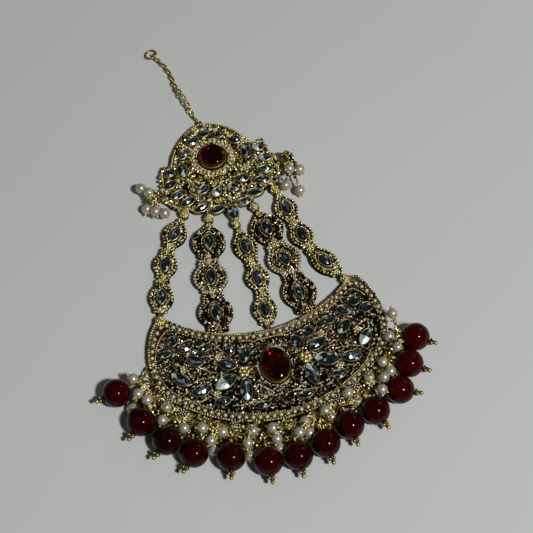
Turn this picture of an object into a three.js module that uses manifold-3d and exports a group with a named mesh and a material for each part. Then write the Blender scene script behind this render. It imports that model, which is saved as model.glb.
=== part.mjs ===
// Jhoomar, a side head ornament, lying on its back on a flat surface.
// Millimetres, +Z up. The tables below are measured from the centre of the crescent's oval stone,
// with +Y towards the chain. The whole is then moved so that its origin is bottom centre.
import * as THREE from 'three';
import { mergeVertices } from 'three/addons/utils/BufferGeometryUtils.js';
import ManifoldModule from 'manifold-3d';

const wasm = await ManifoldModule();
wasm.setup();

// ---- Driving dimensions ------------------------------------------------------------------------

const EYE = { height: 1.22, outer: 0.9, hole: 0.55, thickness: 0.5, stand: 0.55 };
const JUMP_RING = { radius: 1.0, wire: 0.2 };
const PLATE = { top: 1.8, rimTop: 2.4, rimWidth: 2.4, colletTop: 2.9, colletWall: 0.4 };
const SINK = 0.6; // how deep a raised piece is let into the plate below it
const CAP_RADIUS = 1.25;
const LINK = { under: 0.5, top: 2.0, colletTop: 2.8, lead: 1.15, tail: 0.5 };
const LINK_WIDTH = { narrow: 6.8, wide: 9.8 };
const LINK_POINT = { narrow: 1.25, wide: 1.0 }; // 1 is an ellipse, more is pointed
const LINK_STONE = { long: 4.4, wide: 2.4 };
const BEAD = { radius: 3.9, bore: 0.65 };
const PIN = {
  wire: 0.3, coil: 0.6, rondelle: 1.1, collar: 0.9, ball: 0.62, ballEnd: 1.9, clearance: 0.3,
};
const SPRAY = { wire: 0.25, hubOut: 2.9, hubHeight: 4.7 };
const CHAIN = { radius: 0.8, sides: 6, steps: 20, endReach: 1.6 };
const HOOK_RING = { radius: 1.7, wire: 0.3 };
const SETTING = { seat: 2.1, girdle: 3.0, wallTop: 3.5, wall: 0.5, clearance: 0.3 };
const OVAL_STONE = { width: 8.0, length: 10.0, top: 4.9 };
const ROUND_STONE = { width: 7.6, length: 7.6, top: 4.7 };
// Radii as shares of the stone's half width; heights in millimetres.
const STONE_CUT = {
  foot: 0.86, shoulder: 0.93, shoulderRise: 0.7, bevel: 0.66, bevelDrop: 0.2, table: 0.5,
};

// The crescent: a belly arc, two curved shoulders, two blunt horns and a mouth arc.
const CRESCENT = {
  bellyY: 27, bellyRadius: 42.5, bellyHalfAngle: 45,
  mouthY: 51, mouthRadius: 40, hornInner: 25.2,
  shoulderPull: 7.5, shoulderX: 34.6, shoulderY: 14.5,
  hornX: 29.3, hornY: 21.0, hornCrownX: 27.5, hornCrownY: 22.2, hornReach: 30,
};
// How far each of those points moves in when the outline is drawn in by one millimetre.
const DRAW_IN = { shoulderX: 1, shoulderY: 0.5, hornX: 0.75, hornY: 1.8, hornCrownX: 0.3, hornCrownY: 1.9 };
const CROWN = { x: -1.9, y: 68.3, turn: 5, top: 12.5 };
// The crown's left edge from top to bottom: each curve's control points, then its end.
const CROWN_EDGE = [
  [[-4.5, 12.3], [-10.8, 6.8], [-12.6, 1.4]],
  [[-15.6, 2.0], [-16.3, -1.4]],
  [[-16.4, -3.4], [-17.9, -6.6]],
  [[-18.4, -11.4], [-13.6, -13.6]],
  [[-9.5, -15.6], [-5.0, -17.2], [0, -17.4]],
];
const NECK = { length: 4.6, halfWidth: 0.9, height: 2.0 };

// Small stones left of the crescent's centre line; each has a twin on the right.
const CRESCENT_STONES = [
  // x, y, long, wide, turn
  [-29.0, 10.8, 3.8, 2.3, -5], [-25.9, 13.6, 2.8, 2.2, 40], [-22.6, 11.4, 3.8, 2.2, 20],
  [-17.6, 9.6, 3.4, 1.6, 12], [-21.3, 6.6, 4.4, 2.3, -40], [-26.3, 2.2, 5.0, 2.4, -48],
  [-21.1, -2.4, 5.0, 2.6, 8], [-11.3, 7.6, 2.8, 2.4, -50], [-7.5, 5.2, 4.2, 2.4, 65],
  [-12.9, 3.4, 4.8, 2.4, -30], [-14.2, -1.5, 6.2, 3.0, 22], [-9.3, -4.9, 6.0, 2.8, 80],
  [-16.3, -6.7, 3.6, 2.0, -5], [-6.0, -10.2, 4.0, 1.5, 0],
];
// Small stones of the crown's left half, from the round stone's centre; each has a twin.
const CROWN_STONES = [
  // x, y, long, wide, turn
  [-4.0, 7.0, 3.0, 1.9, 15], [-7.9, 3.6, 3.2, 2.0, 30], [-9.9, -1.4, 3.6, 2.3, 90],
  [-13.6, -1.1, 2.8, 1.9, 25], [-14.6, -5.0, 3.4, 1.9, 17], [-13.3, -8.9, 4.2, 1.9, 10],
  [-11.3, -12.0, 4.2, 1.9, 14], [-8.1, -15.2, 4.2, 1.8, 9], [-4.0, -17.1, 4.0, 1.6, 6],
  [-6.0, -9.6, 3.4, 1.9, 15], [-2.5, -11.6, 2.8, 1.9, 30],
];
const CROWN_MIDDLE_STONES = [
  // x, y, long, wide, turn
  [0, 8.6, 2.6, 2.0, 0], [0, -19.4, 4.2, 2.4, 90],
];

// Each strip hangs from the crown at its first joint and meets the crescent at its last.
const STRIPS = [
  { kind: 'narrow', joints: [[-15.0, 50.7], [-20.9, 42.3], [-24.4, 33.2], [-27.3, 23.0]] },
  { kind: 'wide', joints: [[-7.8, 47.2], [-10.5, 36.1], [-11.7, 25.4], [-12.6, 14.4]] },
  { kind: 'narrow', joints: [[0.0, 43.4], [1.4, 32.3], [1.9, 22.5], [0.9, 12.3]] },
  { kind: 'wide', joints: [[6.7, 47.5], [9.2, 36.7], [11.6, 26.1], [12.6, 14.5]] },
  { kind: 'narrow', joints: [[13.9, 51.8], [16.0, 42.2], [18.2, 33.0], [24.4, 22.7]] },
];

const BEADS = [
  // x, y, tip: direction of the ball tip, degrees from +X
  [-43.8, 2.1, 191], [-39.0, -7.5, 224], [-33.4, -14.3, 221], [-27.1, -19.4, 228],
  [-17.8, -22.8, 257], [-8.5, -26.4, 267], [-0.4, -26.8, 269], [7.6, -25.2, 275],
  [15.1, -21.9, 276], [22.9, -19.6, 290], [31.0, -15.5, 336], [35.6, -8.8, 325],
  [39.5, -1.7, 327],
];

// Sprays of the fringe: the eye's angle on the belly (0 is straight down), then pearl centres.
const SPRAYS = [
  { eye: -55, pearls: [[-38.6, 4.4, 5.6], [-38.2, 0.4, 4.2], [-40.6, -2.4, 1.7], [-36.1, -2.0, 4.4]] },
  { eye: -43.5, pearls: [[-31.6, -5.2, 4.4], [-33.3, -8.4, 3.9], [-28.2, -12.6, 5.7]] },
  { eye: -25, pearls: [[-23.5, -13.8, 5.8], [-18.4, -15.7, 4.4], [-21.9, -17.0, 3.6], [-21.8, -19.3, 1.6]] },
  { eye: -14.4, pearls: [[-10.5, -17.3, 4.2], [-12.6, -20.0, 3.4], [-12.6, -23.0, 1.6]] },
  { eye: -4.7, pearls: [[-5.2, -17.8, 4.3], [-4.8, -20.9, 4.0], [-4.4, -23.0, 1.6]] },
  { eye: 4.0, pearls: [[3.7, -18.1, 4.2], [1.3, -21.2, 5.8], [4.2, -21.0, 2.6]] },
  { eye: 12.7, pearls: [[9.7, -16.5, 4.2], [11.2, -17.9, 2.0]] },
  { eye: 21.7, pearls: [[16.9, -13.2, 4.2], [19.2, -15.4, 2.4]] },
  { eye: 31.0, pearls: [[23.8, -10.1, 4.2], [27.3, -11.8, 6.3], [25.8, -15.1, 6.4]] },
  { eye: 40.5, pearls: [[28.6, -6.8, 4.2], [29.9, -9.9, 4.4]] },
  { eye: 49.5, pearls: [[32.4, 0.0, 4.4], [33.9, -3.2, 3.4], [34.9, 5.9, 5.6]] },
];
const CROWN_SPRAYS = [
  { name: 'left', side: -1,
    pearls: [[-24.6, 62.6, 3.4], [-22.6, 60.2, 4.2], [-24.2, 55.9, 2.6], [-22.0, 53.7, 4.2], [-19.6, 52.3, 4.6]] },
  { name: 'right', side: 1,
    pearls: [[22.0, 57.8, 3.0], [18.9, 58.0, 4.4], [19.8, 61.3, 2.4], [16.4, 52.9, 4.4], [20.4, 51.2, 2.6]] },
];
const PEARL_RADIUS = 1.5;
const CROWN_SPRAY_EYE = { x: 17.85, y: -8.2 };
const CROWN_TOP_EYE = { y: 13.0 };

// The chain arches up from the crown and comes down to the surface half way along.
const CHAIN_ROUTE = [
  // x, y, z
  [-4.3, 84.4, 1.5], [-5.2, 88.5, 2.9], [-6.4, 92.4, 2.7], [-7.3, 96.2, 1.4],
  [-7.7, 100.2, 0.9], [-8.9, 104.0, 0.9], [-10.9, 107.5, 1.0],
];

// ---- Finishes ----------------------------------------------------------------------------------

const GOLD = { color: 0xc8a95c, metalness: 0.95, roughness: 0.3 };
const ANTIQUE_GOLD = { color: 0x7d6437, metalness: 0.9, roughness: 0.45 };
const RED_GLASS = { color: 0x52070d, metalness: 0.0, roughness: 0.08 };
const RED_BEAD = { color: 0x5e0a12, metalness: 0.0, roughness: 0.15 };
const PEARL = { color: 0xeadfcd, metalness: 0.0, roughness: 0.25 };

// ---- Shared tools ------------------------------------------------------------------------------

const radians = THREE.MathUtils.degToRad;

function mesh(name, geometry, finish) {
  const piece = new THREE.Mesh(geometry, new THREE.MeshStandardMaterial(finish));
  piece.name = name;
  return piece;
}

function toSolid(geometry) {
  const bare = geometry.clone();
  bare.deleteAttribute('normal');
  bare.deleteAttribute('uv');
  const merged = mergeVertices(bare, 1e-4);
  return new wasm.Manifold(new wasm.Mesh({
    numProp: 3,
    vertProperties: new Float32Array(merged.attributes.position.array),
    triVerts: new Uint32Array(merged.index.array),
  }));
}

function toGeometry(solid) {
  const { vertProperties, triVerts } = solid.getMesh();
  const geometry = new THREE.BufferGeometry();
  geometry.setAttribute('position', new THREE.BufferAttribute(vertProperties, 3));
  geometry.setIndex(new THREE.BufferAttribute(triVerts, 1));
  geometry.computeVertexNormals();
  return geometry;
}

function fuse(geometries) {
  return toGeometry(geometries.map(toSolid).reduce((whole, next) => whole.add(next)));
}

function slab(shape, bottom, top, curveSegments = 5) {
  const geometry = new THREE.ExtrudeGeometry(shape, {
    depth: top - bottom, bevelEnabled: false, curveSegments,
  });
  return geometry.translate(0, 0, bottom);
}

// A straight round wire between two points.
function wire(from, to, radius, sides = 4) {
  const along = new THREE.Vector3().subVectors(to, from);
  const geometry = new THREE.CylinderGeometry(radius, radius, along.length(), sides);
  const turn = new THREE.Quaternion().setFromUnitVectors(
    new THREE.Vector3(0, 1, 0), along.clone().normalize());
  const middle = new THREE.Vector3().addVectors(from, to).multiplyScalar(0.5);
  return geometry.applyQuaternion(turn).translate(middle.x, middle.y, middle.z);
}

function ball(centre, radius, sides = 6, rings = 4) {
  return new THREE.SphereGeometry(radius, sides, rings).translate(centre.x, centre.y, centre.z);
}

// A flat eye whose hole is at the joint.
function eye(joint) {
  const disc = new THREE.Shape().absarc(0, 0, EYE.outer, 0, 2 * Math.PI, false);
  disc.holes.push(new THREE.Path().absarc(0, 0, EYE.hole, 0, 2 * Math.PI, true));
  const bottom = EYE.height - EYE.thickness / 2;
  return slab(disc, bottom, bottom + EYE.thickness, 3).translate(joint.x, joint.y, 0);
}

// An upright jump ring that passes through the eye at the joint and reaches away from it.
function jumpRing(joint, direction) {
  const geometry = new THREE.TorusGeometry(JUMP_RING.radius, JUMP_RING.wire, 3, 8);
  geometry.rotateX(Math.PI / 2).rotateZ(Math.atan2(direction.y, direction.x));
  return geometry.translate(
    joint.x + JUMP_RING.radius * direction.x, joint.y + JUMP_RING.radius * direction.y, EYE.height);
}

// The point on the far side of such a ring, where its piece is soldered on.
function ringFoot(joint, direction) {
  const reach = 2 * JUMP_RING.radius;
  return new THREE.Vector3(
    joint.x + reach * direction.x, joint.y + reach * direction.y, EYE.height);
}

// The round boss that carries a cluster of granules.
function granuleCap(centre) {
  const disc = new THREE.Shape().absarc(0, 0, CAP_RADIUS, 0, 2 * Math.PI, false);
  return slab(disc, 0, PLATE.colletTop, 4).translate(centre.x, centre.y, 0);
}

function unit(from, to) {
  return new THREE.Vector2(to.x - from.x, to.y - from.y).normalize();
}

// ---- Stones and settings -----------------------------------------------------------------------

// A pointed oval made of two arcs, lying along +X.
function marquiseShape(long, wide) {
  const half = long / 2;
  const radius = (half * half + wide * wide / 4) / wide;
  const reach = Math.asin(half / radius);
  const offset = radius - wide / 2;
  const shape = new THREE.Shape();
  shape.absarc(0, offset, radius, -Math.PI / 2 - reach, -Math.PI / 2 + reach, false);
  shape.absarc(0, -offset, radius, Math.PI / 2 - reach, Math.PI / 2 + reach, false);
  return shape;
}

function collet([x, y, long, wide, turn], bottom, top) {
  const wall = 2 * PLATE.colletWall;
  const geometry = slab(marquiseShape(long + wall, wide + wall), bottom, top, 2);
  return geometry.rotateZ(radians(turn)).translate(x, y, 0);
}

function mirrored([x, y, long, wide, turn]) {
  return [-x, y, long, wide, -turn];
}

function colletField(halfTable, middleTable) {
  const stones = [...halfTable, ...halfTable.map(mirrored), ...middleTable];
  return stones.map((stone) => collet(stone, PLATE.top - SINK, PLATE.colletTop));
}

// The raised wall round a large stone.
function bezel(stone) {
  const inner = SETTING.clearance;
  const ring = new THREE.Shape().absellipse(
    0, 0, stone.width / 2 + inner + SETTING.wall, stone.length / 2 + inner + SETTING.wall,
    0, 2 * Math.PI, false, 0);
  ring.holes.push(new THREE.Path().absellipse(
    0, 0, stone.width / 2 + inner, stone.length / 2 + inner, 0, 2 * Math.PI, true, 0));
  return slab(ring, PLATE.top - SINK, SETTING.wallTop);
}

function stoneGeometry(stone) {
  const profile = [
    [0, SETTING.seat], [STONE_CUT.foot, SETTING.seat], [1, SETTING.girdle],
    [STONE_CUT.shoulder, SETTING.girdle + STONE_CUT.shoulderRise],
    [STONE_CUT.bevel, stone.top - STONE_CUT.bevelDrop], [STONE_CUT.table, stone.top], [0, stone.top],
  ];
  const geometry = new THREE.LatheGeometry(profile.map(([r, z]) => new THREE.Vector2(r, z)), 12);
  return geometry.rotateX(Math.PI / 2).scale(stone.width / 2, stone.length / 2, 1);
}

// ---- Crescent ----------------------------------------------------------------------------------

// The crescent's outline, or the same outline drawn in by an inset.
function crescentShape(inset) {
  const c = CRESCENT;
  const belly = c.bellyRadius - inset;
  const mouth = c.mouthRadius + inset;
  const diagonal = Math.SQRT1_2;
  const bellyEnd = new THREE.Vector2(belly * diagonal, c.bellyY - belly * diagonal);
  const pull = c.shoulderPull * diagonal;
  const hornInnerY = c.mouthY - Math.sqrt(mouth ** 2 - c.hornInner ** 2);
  const mouthAngle = Math.atan2(hornInnerY - c.mouthY, c.hornInner);
  const [shoulder, horn, hornCrown] = ['shoulder', 'horn', 'hornCrown'].map((name) => ({
    x: c[`${name}X`] - inset * DRAW_IN[`${name}X`],
    y: c[`${name}Y`] - inset * DRAW_IN[`${name}Y`],
  }));
  const shape = new THREE.Shape();
  shape.absarc(0, c.bellyY, belly, radians(-90 - c.bellyHalfAngle), radians(-90 + c.bellyHalfAngle));
  shape.bezierCurveTo(bellyEnd.x + pull, bellyEnd.y + pull, shoulder.x, shoulder.y, horn.x, horn.y);
  shape.quadraticCurveTo(hornCrown.x, hornCrown.y, c.hornInner, hornInnerY);
  shape.absarc(0, c.mouthY, mouth, mouthAngle, -Math.PI - mouthAngle, true);
  shape.quadraticCurveTo(-hornCrown.x, hornCrown.y, -horn.x, horn.y);
  shape.bezierCurveTo(
    -shoulder.x, shoulder.y, -bellyEnd.x - pull, bellyEnd.y + pull, -bellyEnd.x, bellyEnd.y);
  return shape;
}

// The outline's points outside the mouth and the horns, which end about 30 from the belly's centre.
const BELLY_POINTS = crescentShape(0).getSpacedPoints(600)
  .filter((p) => Math.hypot(p.x, p.y - CRESCENT.bellyY) > CRESCENT.hornReach);

// The point where a ray from the belly's centre leaves the outline. Angle 0 is straight down.
function bellyEdge(angle) {
  const wanted = radians(angle);
  const offAngle = (p) => Math.abs(Math.atan2(p.x, CRESCENT.bellyY - p.y) - wanted);
  return BELLY_POINTS.reduce((best, p) => (offAngle(p) < offAngle(best) ? p : best));
}

function bellyEye(angle) {
  const edge = bellyEdge(angle);
  const outward = unit({ x: 0, y: CRESCENT.bellyY }, edge);
  return edge.clone().addScaledVector(outward, EYE.stand);
}

function stripDirection(joints, index) {
  const [from, to] = [joints[index], joints[index + 1]];
  return unit({ x: from[0], y: from[1] }, { x: to[0], y: to[1] });
}

function beadAngle([x, y]) {
  return THREE.MathUtils.radToDeg(Math.atan2(x, CRESCENT.bellyY - y));
}

function crescentPlate() {
  const rim = crescentShape(0);
  rim.holes.push(crescentShape(PLATE.rimWidth));
  const parts = [
    slab(crescentShape(0), 0, PLATE.top),
    slab(rim, PLATE.top - SINK, PLATE.rimTop),
    bezel(OVAL_STONE),
    ...colletField(CRESCENT_STONES, []),
  ];
  for (const angle of [...BEADS.map(beadAngle), ...SPRAYS.map((spray) => spray.eye)]) {
    parts.push(eye(bellyEye(angle)));
  }
  for (const { joints } of STRIPS) {
    const joint = new THREE.Vector2(...joints.at(-1));
    parts.push(jumpRing(joint, stripDirection(joints, joints.length - 2)));
  }
  for (const { joints } of [STRIPS.at(0), STRIPS.at(-1)]) {
    const inward = stripDirection(joints, joints.length - 2);
    const joint = new THREE.Vector2(...joints.at(-1));
    parts.push(granuleCap(joint.addScaledVector(inward, CAP_RADIUS + LINK.lead)));
  }
  return mesh('crescent_plate', fuse(parts), ANTIQUE_GOLD);
}

// ---- Crown -------------------------------------------------------------------------------------

function crownPoint(x, y) {
  return new THREE.Vector2(x, y).rotateAround(new THREE.Vector2(), radians(CROWN.turn))
    .add(new THREE.Vector2(CROWN.x, CROWN.y));
}

function addCurve(shape, points) {
  if (points.length === 3) {
    shape.bezierCurveTo(...points.flat());
  } else {
    shape.quadraticCurveTo(...points.flat());
  }
}

// Down the left edge and back up its mirror image.
function crownShape() {
  const shape = new THREE.Shape().moveTo(0, CROWN.top);
  CROWN_EDGE.forEach((curve) => addCurve(shape, curve));
  const starts = [[0, CROWN.top], ...CROWN_EDGE.map((curve) => curve.at(-1))];
  for (let i = CROWN_EDGE.length - 1; i >= 0; i -= 1) {
    const back = [...CROWN_EDGE[i].slice(0, -1).reverse(), starts[i]];
    addCurve(shape, back.map(([x, y]) => [-x, y]));
  }
  return shape;
}

// A granule cap above each strip, with the neck that joins it to the crown.
function dropCap(joints) {
  const back = stripDirection(joints, 0).negate();
  const joint = new THREE.Vector2(...joints[0]);
  const cap = joint.clone().addScaledVector(back, CAP_RADIUS + LINK.tail);
  const neckBox = new THREE.BoxGeometry(NECK.length, 2 * NECK.halfWidth, NECK.height);
  neckBox.translate(NECK.length / 2, 0, NECK.height / 2).rotateZ(back.angle());
  return [
    granuleCap(cap),
    neckBox.translate(cap.x, cap.y, 0),
    eye(joint),
  ];
}

function crownSprayEye(side) {
  return crownPoint(side * (CROWN_SPRAY_EYE.x + EYE.stand), CROWN_SPRAY_EYE.y);
}

function crownTopEye() {
  return crownPoint(0, CROWN_TOP_EYE.y);
}

function crownPlate() {
  const placed = [
    slab(crownShape(), 0, PLATE.top, 4),
    bezel(ROUND_STONE),
    ...colletField(CROWN_STONES, CROWN_MIDDLE_STONES),
  ].map((part) => part.rotateZ(radians(CROWN.turn)).translate(CROWN.x, CROWN.y, 0));
  const parts = [
    ...placed,
    ...STRIPS.flatMap(({ joints }) => dropCap(joints)),
    eye(crownSprayEye(-1)),
    eye(crownSprayEye(1)),
    eye(crownTopEye()),
  ];
  return mesh('crown_plate', fuse(parts), GOLD);
}

// ---- Strips ------------------------------------------------------------------------------------

// A link's outline: an ellipse whose ends are drawn to soft points.
function linkShape(length, width, pointedness) {
  const points = [];
  const corners = 12;
  for (let i = 0; i < corners; i += 1) {
    const angle = 2 * Math.PI * i / corners;
    const sine = Math.sin(angle);
    const across = Math.sign(sine) * Math.abs(sine) ** pointedness;
    points.push(new THREE.Vector2(across * width / 2, -Math.cos(angle) * length / 2));
  }
  return new THREE.Shape(points);
}

// Built with its top joint at the origin, hanging along -Y.
function linkGeometry(kind, length) {
  const bodyLength = length - LINK.lead - LINK.tail;
  const middle = -LINK.lead - bodyLength / 2;
  const outline = linkShape(bodyLength, LINK_WIDTH[kind], LINK_POINT[kind]);
  const body = slab(outline, LINK.under, LINK.top);
  return fuse([
    body.translate(0, middle, 0),
    collet([0, middle, LINK_STONE.long, LINK_STONE.wide, 90], LINK.top - SINK, LINK.colletTop),
    jumpRing({ x: 0, y: 0 }, { x: 0, y: -1 }),
    eye({ x: 0, y: -length }),
  ]);
}

function strip({ kind, joints }, stripIndex) {
  const group = new THREE.Group();
  for (let i = 0; i < joints.length - 1; i += 1) {
    const [x, y] = joints[i];
    const length = Math.hypot(joints[i + 1][0] - x, joints[i + 1][1] - y);
    const finish = kind === 'wide' && i !== 1 ? ANTIQUE_GOLD : GOLD;
    const link = mesh(`strip${stripIndex + 1}_link${i + 1}`, linkGeometry(kind, length), finish);
    link.position.set(x, y, 0);
    link.rotation.z = stripDirection(joints, i).angle() + Math.PI / 2;
    group.add(link);
  }
  return group;
}

// ---- Fringe ------------------------------------------------------------------------------------

function pad(number) {
  return String(number).padStart(2, '0');
}

function beadGeometry() {
  const steps = 6;
  const mouth = Math.asin(BEAD.bore / BEAD.radius);
  const profile = [];
  for (let i = 0; i <= steps; i += 1) {
    const angle = mouth + (Math.PI - 2 * mouth) * i / steps;
    profile.push(new THREE.Vector2(BEAD.radius * Math.sin(angle), -BEAD.radius * Math.cos(angle)));
  }
  profile.push(profile[0].clone());
  return new THREE.LatheGeometry(profile, 8);
}

function redBead([x, y, tip], index) {
  const bead = mesh(`red_bead_${pad(index + 1)}`, beadGeometry(), RED_BEAD);
  bead.position.set(x, y, BEAD.radius);
  bead.rotation.z = radians(tip - 90);
  return bead;
}

function headPin(row, index) {
  const [x, y, tip] = row;
  const centre = new THREE.Vector3(x, y, BEAD.radius);
  const outward = new THREE.Vector3(Math.cos(radians(tip)), Math.sin(radians(tip)), 0);
  const along = (distance) => centre.clone().addScaledVector(outward, distance);
  const collarStart = BEAD.radius + PIN.clearance;
  const collarEnd = collarStart + PIN.collar;
  const joint = bellyEye(beadAngle(row));
  const bend = along(-collarEnd);
  const direction = unit(joint, bend);
  const profile = [
    [0, -collarEnd], [PIN.coil, -collarEnd], [PIN.coil, -collarStart], [PIN.wire, -collarStart],
    [PIN.wire, collarStart], [PIN.rondelle, collarStart], [PIN.rondelle, collarEnd],
    [PIN.wire, collarEnd], [PIN.ball, collarEnd + PIN.ball],
    [PIN.wire, collarEnd + PIN.ballEnd * PIN.ball],
    [0, collarEnd + 2 * PIN.ball],
  ];
  const stem = new THREE.LatheGeometry(profile.map(([r, s]) => new THREE.Vector2(r, s)), 5);
  stem.rotateZ(radians(tip - 90)).translate(centre.x, centre.y, centre.z);
  return mesh(`head_pin_${pad(index + 1)}`, fuse([
    stem,
    wire(ringFoot(joint, direction), bend, PIN.wire),
    jumpRing(joint, direction),
  ]), GOLD);
}

// Pearls wired to one hub, which hangs from a jump ring in an eye.
function sprayGeometry(joint, outward, pearls) {
  const foot = ringFoot(joint, outward);
  const hub = new THREE.Vector3(
    joint.x + SPRAY.hubOut * outward.x, joint.y + SPRAY.hubOut * outward.y, SPRAY.hubHeight);
  const parts = [jumpRing(joint, outward), wire(foot, hub, SPRAY.wire)];
  for (const place of pearls) {
    const centre = new THREE.Vector3(...place);
    parts.push(wire(hub, centre, SPRAY.wire), ball(centre, PEARL_RADIUS));
  }
  return fuse(parts);
}

function fringeSpray({ eye: angle, pearls }, index) {
  const joint = bellyEye(angle);
  const outward = unit({ x: 0, y: CRESCENT.bellyY }, joint);
  return mesh(`pearl_spray_${pad(index + 1)}`, sprayGeometry(joint, outward, pearls), PEARL);
}

function crownSpray({ name, side, pearls }) {
  const joint = crownSprayEye(side);
  const outward = new THREE.Vector2(side, 0);
  return mesh(`crown_spray_${name}`, sprayGeometry(joint, outward, pearls), PEARL);
}

// ---- Chain -------------------------------------------------------------------------------------

function hookRingJoint() {
  const [before, last] = CHAIN_ROUTE.slice(-2).map(([x, y]) => ({ x, y }));
  const direction = unit(before, last);
  const reach = CHAIN.endReach;
  return { direction, x: last.x + reach * direction.x, y: last.y + reach * direction.y };
}

function hookChain() {
  const route = new THREE.CatmullRomCurve3(CHAIN_ROUTE.map((place) => new THREE.Vector3(...place)));
  const section = new THREE.Shape();
  for (let i = 0; i < CHAIN.sides; i += 1) {
    const angle = 2 * Math.PI * i / CHAIN.sides;
    section.lineTo(CHAIN.radius * Math.cos(angle), CHAIN.radius * Math.sin(angle));
  }
  const tube = new THREE.ExtrudeGeometry(section, { steps: CHAIN.steps, extrudePath: route });
  const start = new THREE.Vector3(...CHAIN_ROUTE[0]);
  const topEye = crownTopEye();
  const up = unit(topEye, start);
  const end = hookRingJoint();
  const back = { x: -end.direction.x, y: -end.direction.y };
  return mesh('hook_chain', fuse([
    tube,
    jumpRing(topEye, up),
    wire(ringFoot(topEye, up), start, 2 * JUMP_RING.wire),
    jumpRing(end, back),
  ]), GOLD);
}

function hookRing() {
  const end = hookRingJoint();
  const lift = EYE.height - HOOK_RING.wire;
  const tilt = Math.asin(lift / (2 * HOOK_RING.radius));
  const geometry = new THREE.TorusGeometry(HOOK_RING.radius, HOOK_RING.wire, 5, 12);
  const ring = mesh('hook_ring', geometry.translate(HOOK_RING.radius, 0, 0).rotateY(tilt), GOLD);
  const back = JUMP_RING.radius;
  ring.position.set(end.x - back * end.direction.x, end.y - back * end.direction.y, EYE.height);
  ring.rotation.z = Math.atan2(end.direction.y, end.direction.x);
  return ring;
}

// ---- Assembly ----------------------------------------------------------------------------------

function crownStone() {
  const stone = mesh('crown_stone', stoneGeometry(ROUND_STONE), RED_GLASS);
  stone.position.set(CROWN.x, CROWN.y, 0);
  return stone;
}

const pieces = new THREE.Group();
pieces.add(
  crownPlate(),
  crownStone(),
  crescentPlate(),
  mesh('crescent_stone', stoneGeometry(OVAL_STONE), RED_GLASS),
  ...STRIPS.map(strip),
  ...BEADS.map(redBead),
  ...BEADS.map(headPin),
  ...SPRAYS.map(fringeSpray),
  ...CROWN_SPRAYS.map(crownSpray),
  hookChain(),
  hookRing(),
);
pieces.updateMatrixWorld(true);
const extent = new THREE.Box3().setFromObject(pieces, true);
const middle = extent.getCenter(new THREE.Vector3());
pieces.position.set(-middle.x, -middle.y, -extent.min.z);

const jhoomar = new THREE.Group();
jhoomar.add(pieces);

export default jhoomar;
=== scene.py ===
import math

import bpy
import numpy as np
from bpy.props import FloatProperty, FloatVectorProperty, PointerProperty
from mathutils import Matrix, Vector


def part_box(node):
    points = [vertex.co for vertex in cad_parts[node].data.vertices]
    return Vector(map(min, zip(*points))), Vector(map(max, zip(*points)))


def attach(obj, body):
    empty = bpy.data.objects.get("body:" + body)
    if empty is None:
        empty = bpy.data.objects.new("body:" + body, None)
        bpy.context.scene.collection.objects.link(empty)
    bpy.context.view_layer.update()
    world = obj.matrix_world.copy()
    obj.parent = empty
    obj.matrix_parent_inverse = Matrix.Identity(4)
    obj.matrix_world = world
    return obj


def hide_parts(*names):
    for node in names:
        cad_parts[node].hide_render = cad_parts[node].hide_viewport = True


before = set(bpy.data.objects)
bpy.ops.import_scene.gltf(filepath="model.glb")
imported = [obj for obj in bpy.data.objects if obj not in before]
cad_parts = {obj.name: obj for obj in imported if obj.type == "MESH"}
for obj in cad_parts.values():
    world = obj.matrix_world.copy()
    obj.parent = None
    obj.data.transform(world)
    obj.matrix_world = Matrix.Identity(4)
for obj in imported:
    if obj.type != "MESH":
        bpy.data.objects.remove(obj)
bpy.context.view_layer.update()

bl_info = {
    "name": "Jhoomar",
    "version": (1, 0, 0),
    "blender": (4, 5, 0),
    "location": "View3D > Sidebar > Jhoomar",
    "description": "Builds a granulated gold jhoomar with red beads, pearls and foiled stones",
    "category": "Object",
}

MM = 0.001
STONE_LOW, STONE_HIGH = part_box("crescent_stone")
ORIGIN = np.array([(STONE_LOW.x + STONE_HIGH.x) / 2, (STONE_LOW.y + STONE_HIGH.y) / 2, 0.0])
UP = np.array([0.0, 0.0, 1.0])

# ---- Measures of the ornament, in millimetres -------------------------------------------------

EYE = {"height": 1.22, "outer": 0.9, "hole": 0.55, "thickness": 0.5, "stand": 0.55}
JUMP_RING = {"radius": 1.0, "wire": 0.2}
PLATE = {"top": 1.8, "collet_top": 2.9, "collet_wall": 0.4}
CAP_RADIUS = 1.25
LOOK_ALONG = 0.1  # how far either side of a point its path's direction is taken
LINK = {"top": 2.0, "collet_top": 2.8, "lead": 1.15, "tail": 0.5}
LINK_WIDTH = {"narrow": 6.8, "wide": 9.8}
LINK_POINT = {"narrow": 1.25, "wide": 1.0}
LINK_STONE = (4.4, 2.4)
LINK_WAIST = {"narrow": 4.0, "wide": 6.0}
LINK_FOOT = 1.2
BEAD = {"radius": 3.9, "bore": 0.65}
PIN = {"wire": 0.3, "collar": 0.9, "ball": 0.62, "clearance": 0.3}
SPRAY = {"wire": 0.22, "hub_out": 2.9, "hub_height": 4.7}
HOOK_RING = {"radius": 1.7, "wire": 0.3}
SETTING = {"seat": 2.1, "girdle": 3.0}
OVAL_STONE = {"width": 8.0, "length": 10.0, "top": 4.9}
ROUND_STONE = {"width": 7.6, "length": 7.6, "top": 4.7}
CRESCENT = {
    "belly_y": 27.0, "belly_radius": 42.5, "mouth_y": 51.0, "mouth_radius": 40.0,
    "horn_inner": 25.2, "shoulder_pull": 7.5, "shoulder": (34.6, 14.5), "horn": (29.3, 21.0),
    "horn_crown": (27.5, 22.2), "horn_reach": 30.0,
}
CROWN = {"x": -1.9, "y": 68.3, "turn": 5.0}

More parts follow.
